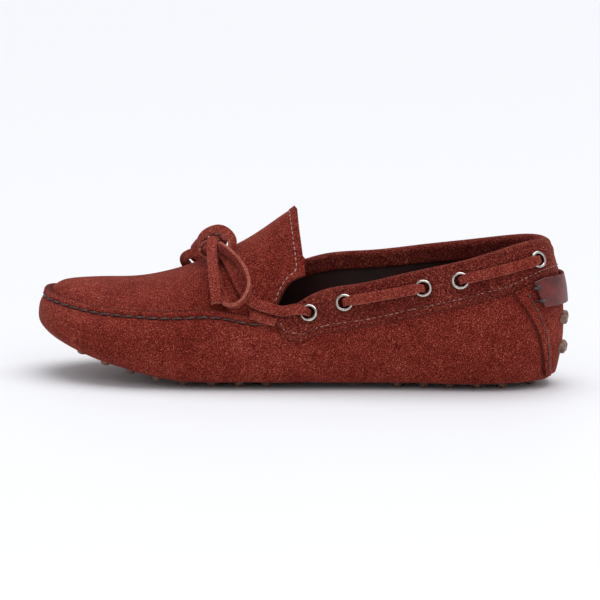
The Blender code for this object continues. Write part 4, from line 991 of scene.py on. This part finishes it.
def ribbon(name, points, across, widths, thick):
    """A flat lace along a route. Its section is a rounded oblong: cosine and sine of an angle, each
    raised to a power below one and scaled to half the width and thickness. Its sides are cut."""
    along = unit(np.gradient(points, axis=0))
    across = unit(across - (across * along).sum(1)[:, None] * along)
    up = np.cross(along, across)
    sides = 18
    angle = 2 * math.pi * (np.arange(sides) + 0.5) / sides
    flat = np.sign(np.cos(angle)) * np.abs(np.cos(angle)) ** 0.28
    high = np.sign(np.sin(angle)) * np.abs(np.sin(angle)) ** 0.36
    grid = (points[:, None] + across[:, None] * (np.outer(widths / 2, flat))[..., None]
            + up[:, None] * (np.outer(thick / 2, high))[..., None])
    column = np.tile(np.arange(sides), len(points) - 1)
    cut_side = np.append(np.isin(column, (0, 7, 8, 9, 16, 17)), [True, True])
    made = tubes(name, grid[None], [LACE, LACE_EDGE], cut_side.astype(int))
    return made


for side, name in ((1, "outer"), (-1, "inner")):
    at, z = eyelet_seats[side]
    for a, b in ((1, 2), (3, 4)):
        ends, _ = skin_line(at[[a, b]], z[[a, b]], 0)
        length = np.linalg.norm(ends[1] - ends[0])
        rows = LACE_EXIT * (1 / length, 1, 1, 1)
        middle = [(share, LACE_LIE, LACE_WIDTH, LACE_THICK) for share in (0.25, 0.5, 0.75)]
        table = np.vstack([rows, middle, rows[::-1] * (-1, 1, 1, 1) + (1, 0, 0, 0)])
        table = spline(np.arange(len(table)), table, np.linspace(0, len(table) - 1, 90))
        gap = (at[b] - at[a] + AROUND / 2) % AROUND - AROUND / 2
        places_on = at[a] + gap * table[:, 0]
        heights = z[a] + (z[b] - z[a]) * table[:, 0]
        route, out = skin_line(places_on, heights, table[:, 1] + BAND_FACE)
        bar = ribbon(f"suede_bar_{name}_{a + 1}", route, np.cross(out, route[-1] - route[0]),
                     table[:, 2], table[:, 3])
        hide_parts(f"lace_bar_{name}_{a + 1}")

RUNS = {
    "outer": (
        # x, y, z, width direction x, y, z, in millimetres
        (0.5, 39.4, 41.4, -0.1, -0.3, 0.95),
        (10.8, 37.4, 42.8, -0.3, -0.4, 0.86),
        (17.5, 35.4, 44.8, -0.75, -0.3, 0.56),
        (24.3, 30.9, 51.4, -0.88, -0.3, 0.37),
        (30.8, 22.9, 60.4, -0.86, -0.26, 0.43),
        (36.0, 13.7, 65.4, -0.80, -0.36, 0.49),
        (38.4, 9.6, 66.6, -0.80, -0.36, 0.49),
    ),
    "inner": (
        (3.0, -38.0, 56.0, -0.5, 0.1, 0.85),
        (9.0, -34.5, 60.5, -0.3, 0.4, 0.85),
        (18.0, -30.5, 61.9, -0.33, 0.42, 0.84),
        (28.0, -27.0, 61.4, -0.18, 0.59, 0.79),
        (37.2, -24.6, 61.6, -0.71, 0.40, 0.58),
        (42.7, -17.8, 64.1, -0.87, 0.21, 0.45),
        (43.8, -9.0, 66.8, -0.91, 0.0, 0.41),
        (44.2, -3.9, 67.6, -0.91, 0.0, 0.41),
    ),
}


def smooth_route(table, spacing=0.9):
    """A cubic spline through a route's points by the length along them, in even short steps."""
    table = np.array(table, float)
    run = run_along(table[:, :3])
    return spline(run, table, np.linspace(0, run[-1], max(int(run[-1] / spacing), 24)))


# Millimetres to metres for a route's places; its directions and sizes stay.
ROUTE_SCALE = np.array([MM] * 3 + [1] * 5)
for side, name in ((1, "outer"), (-1, "inner")):
    at, z = eyelet_seats[side][0][0], eyelet_seats[side][1][0]
    run = np.array(RUNS[name]) * ROUTE_SCALE[:6]
    seat = skin(np.array([at]), np.array([[z]]), 0)[0][0, 0]
    length = np.linalg.norm(run[0, :3] - seat)
    ahead = (float(top_place(run[0, 0], side)) - at) / length
    climb = (run[0, 2] - z) / length
    exit_points, out = skin_line(at + ahead * LACE_EXIT[:, 0], z + climb * LACE_EXIT[:, 0],
                                 LACE_EXIT[:, 1] + BAND_FACE)
    turned = np.cross(out, run[0, :3] - exit_points[0])
    turned *= np.sign(turned[:, 2:]) / np.linalg.norm(turned, axis=1)[:, None]
    table = np.vstack([np.column_stack([exit_points, turned, LACE_EXIT[:, 2:]]),
                       np.column_stack([run, np.full(len(run), LACE_WIDTH),
                                        np.full(len(run), LACE_THICK)])])
    fine = smooth_route(table / ROUTE_SCALE) * ROUTE_SCALE
    piece = ribbon(f"suede_run_{name}", fine[:, :3], fine[:, 3:6], fine[:, 6], fine[:, 7])
    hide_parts(f"lace_run_{name}")

# BOW
# The two ends of the lace are tied in a bow on the tongue: a ring that stands up, a loop to each
# side, two square cut ends, and a wrap that holds them. Each is a ribbon along its own route.
BOW = {
    "bow_ring": (
        # x, y, z, width direction x, y, z
        (51.6, -1.5, 65.0, 0.0, 1.0, 0.1),
        (52.4, -1.0, 69.0, -0.3, 0.9, 0.0),
        (50.8, 0.0, 73.2, -0.4, 0.8, -0.3),
        (46.6, 1.0, 76.6, -0.3, 0.8, -0.5),
        (41.0, 3.0, 78.2, 0.0, 0.8, -0.6),
        (35.8, 6.0, 76.4, 0.3, 0.8, -0.5),
        (32.8, 9.5, 72.6, 0.4, 0.9, -0.2),
        (33.2, 13.0, 68.4, 0.3, 0.9, 0.2),
    ),
    "bow_end_outer": (
        (42.5, -1.5, 74.0, 1.0, 0.0, 0.0),
        (43.3, 4.0, 73.8, 1.0, 0.0, 0.0),
        (43.4, 9.8, 71.6, 1.0, 0.0, 0.0),
        (42.4, 16.0, 67.4, 1.0, 0.1, 0.0),
        (40.8, 22.5, 62.4, 1.0, 0.1, 0.0),
        (39.2, 29.8, 57.2, 1.0, 0.1, 0.0),
        (37.2, 36.4, 51.2, 1.0, 0.1, 0.0),
        (35.8, 41.2, 45.0, 1.0, 0.1, 0.0),
    ),
    "bow_loop_outer": (
        (38.8, 12.8, 70.4, -0.2, 0.5, 0.8),
        (33.0, 19.6, 68.3, -0.2, 0.5, 0.8),
        (25.0, 27.8, 62.9, -0.1, 0.6, 0.8),
        (20.0, 35.4, 57.2, 0.0, 0.7, 0.7),
        (19.4, 40.4, 50.8, 0.0, 0.8, 0.5),
        (23.2, 43.0, 45.6, 0.1, 0.9, 0.3),
        (28.4, 41.2, 43.6, 0.2, 0.9, 0.3),
        (32.2, 36.4, 45.2, 0.7, 0.6, 0.1),
        (36.4, 30.8, 51.4, 1.0, 0.1, -0.1),
        (39.9, 23.0, 58.2, 1.0, 0.0, -0.2),
        (42.6, 15.4, 62.6, 1.0, -0.1, -0.3),
        (44.3, 10.3, 64.9, 1.0, -0.1, -0.3),
    ),
    "bow_loop_inner": (
        (41.8, -4.8, 72.6, 0.6, -0.4, 0.6),
        (41.0, -12.9, 71.4, 0.5, -0.5, 0.7),
        (43.0, -20.3, 67.9, 0.3, -0.5, 0.8),
        (46.7, -25.0, 62.6, 0.1, -0.6, 0.8),
        (53.0, -28.0, 58.4, 0.0, -0.6, 0.8),
        (58.4, -27.8, 58.2, 0.0, -0.6, 0.8),
        (60.2, -23.4, 61.4, 0.0, -0.5, 0.9),
        (57.2, -17.0, 65.8, 0.2, -0.5, 0.8),
        (52.6, -10.6, 69.8, 0.5, -0.4, 0.7),
        (48.8, -6.0, 71.7, 0.6, -0.4, 0.6),
    ),
    "bow_end_inner": (
        (49.2, -5.0, 65.8, 0.4, -0.6, 0.6),
        (51.5, -7.0, 64.2, 0.4, -0.6, 0.6),
        (56.4, -8.6, 63.6, 0.3, -0.6, 0.7),
        (60.6, -11.4, 62.0, 0.2, -0.6, 0.7),
        (63.0, -15.9, 59.5, 0.6, -0.3, 0.5),
        (63.4, -21.8, 56.4, 0.9, 0.0, -0.2),
        (63.2, -28.4, 53.2, 1.0, 0.0, -0.2),
    ),
}
KNOT_CENTRE, KNOT_RADII = np.array([44.8, 2.6, 67.4]) * MM, np.array([5.0, 5.2, 3.7]) * MM

turn = np.linspace(0, math.pi, 22)[1:-1]
spin = 2 * math.pi * np.arange(36) / 36
ball = np.stack([np.outer(np.sin(turn), np.cos(spin)), np.outer(np.cos(turn), np.ones(36)),
                 np.outer(np.sin(turn), np.sin(spin))], axis=-1)
knot = tubes("suede_knot", (ball * KNOT_RADII + KNOT_CENTRE)[None], [LACE])
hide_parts("bow_knot")
spin = np.linspace(0.3, 2 * math.pi + 0.1, 60)
helix = np.column_stack([np.cos(spin) * 5.9, spin * 0.5 - 1.5, np.sin(spin) * 4.6])
wrap_points = KNOT_CENTRE + helix * MM
wrap = ribbon("suede_knot_wrap", wrap_points, np.tile([0.05, 1.0, 0.0], (60, 1)),
              np.full(60, LACE_WIDTH * 0.96), np.full(60, 1.7 * MM))

for name, rows in BOW.items():
    fine = smooth_route(rows)
    route = fine[:, :3] * MM
    count = len(route)
    piece = ribbon(f"suede_{name}", route, fine[:, 3:], np.full(count, LACE_WIDTH),
                   np.full(count, LACE_THICK))
    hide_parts(name)
    placed = route + MIDDLE
    length = float(np.linalg.norm(np.diff(route, axis=0), axis=1).sum())
    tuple(placed[0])
    "bare" if "end" in name else "knot"

# SEAM TABS
# A small tab of suede is sewn over each rear end of the hand sewn seam, in front of the band.
SEAM_TABS = {
    "outer": (1, (0.040, 0.440, BAND_FACE), (0.140, 0.490, LIP_STEP)),
    "inner": (-1, (0.060, 0.690, BAND_FACE), (0.172, 0.585, BAND_FACE)),
}
for name, (side, rear, front) in SEAM_TABS.items():
    table = np.linspace(rear, front, 24)
    at = top_place(table[:, 0] * HALF_LENGTH, side)
    route, out = skin_line(at, table[:, 1] * HEEL_HEIGHT, table[:, 2] + GAP + 0.6 * MM)
    piece = ribbon(f"suede_seam_tab_{name}", route, np.cross(out, np.gradient(route, axis=0)),
                   np.full(24, 4.6 * MM), np.full(24, 1.2 * MM))
    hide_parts(f"seam_tab_{name}")

# STUDIO
# A pale floor that runs out of sight, an even sky with one broad soft light overhead and a fainter
# panel on the camera's side, and the camera on the outer side of the shoe, toe to the left.
floor_finish, _, shader = blank("pale floor")
fill(shader, {"Base Color": hue("#F1F2F5"), "Roughness": 0.55})
floor_mesh = bpy.data.meshes.new("floor")
corners = [(-12, -12, 0), (12, -12, 0), (12, 12, 0), (-12, 12, 0)]
floor_mesh.from_pydata(corners, [], [(0, 1, 2, 3)])
floor_mesh.materials.append(floor_finish)
linked("floor", floor_mesh)

bpy.context.scene.view_settings.view_transform = "Standard"
world = bpy.data.worlds.new("studio")
world.use_nodes = True
bpy.context.scene.world = world
fill(world.node_tree.nodes["Background"], {"Color": hue("#F4F6FA"), "Strength": 0.55})

panel = bpy.data.lights.new("front panel", "AREA")
panel.size, panel.energy = 0.8, 2.5
front = linked("front panel", panel, (-0.7, 1.3, 0.9))
front.rotation_euler = (Vector((0, 0, 0.04)) - front.location).to_track_quat("-Z", "Y").to_euler()
sun = bpy.data.lights.new("sky panel", "SUN")
sun.energy, sun.angle = 2.0, math.radians(62)
linked("sky panel", sun).rotation_euler = (math.radians(8), math.radians(-6), 0)

AZIMUTH, ELEVATION, DISTANCE = math.radians(188.0), math.radians(9.0), 1.3
camera = bpy.data.cameras.new("camera")
camera.lens, camera.sensor_width = 148.2, 36.0
back = Vector((math.sin(AZIMUTH) * math.cos(ELEVATION), -math.cos(AZIMUTH) * math.cos(ELEVATION),
               math.sin(ELEVATION)))
eye = linked("camera", camera, Vector((0.0, 0.0, 0.041)) + back * DISTANCE)
eye.rotation_euler = (-back).to_track_quat("-Z", "Y").to_euler()
bpy.context.scene.camera = eye
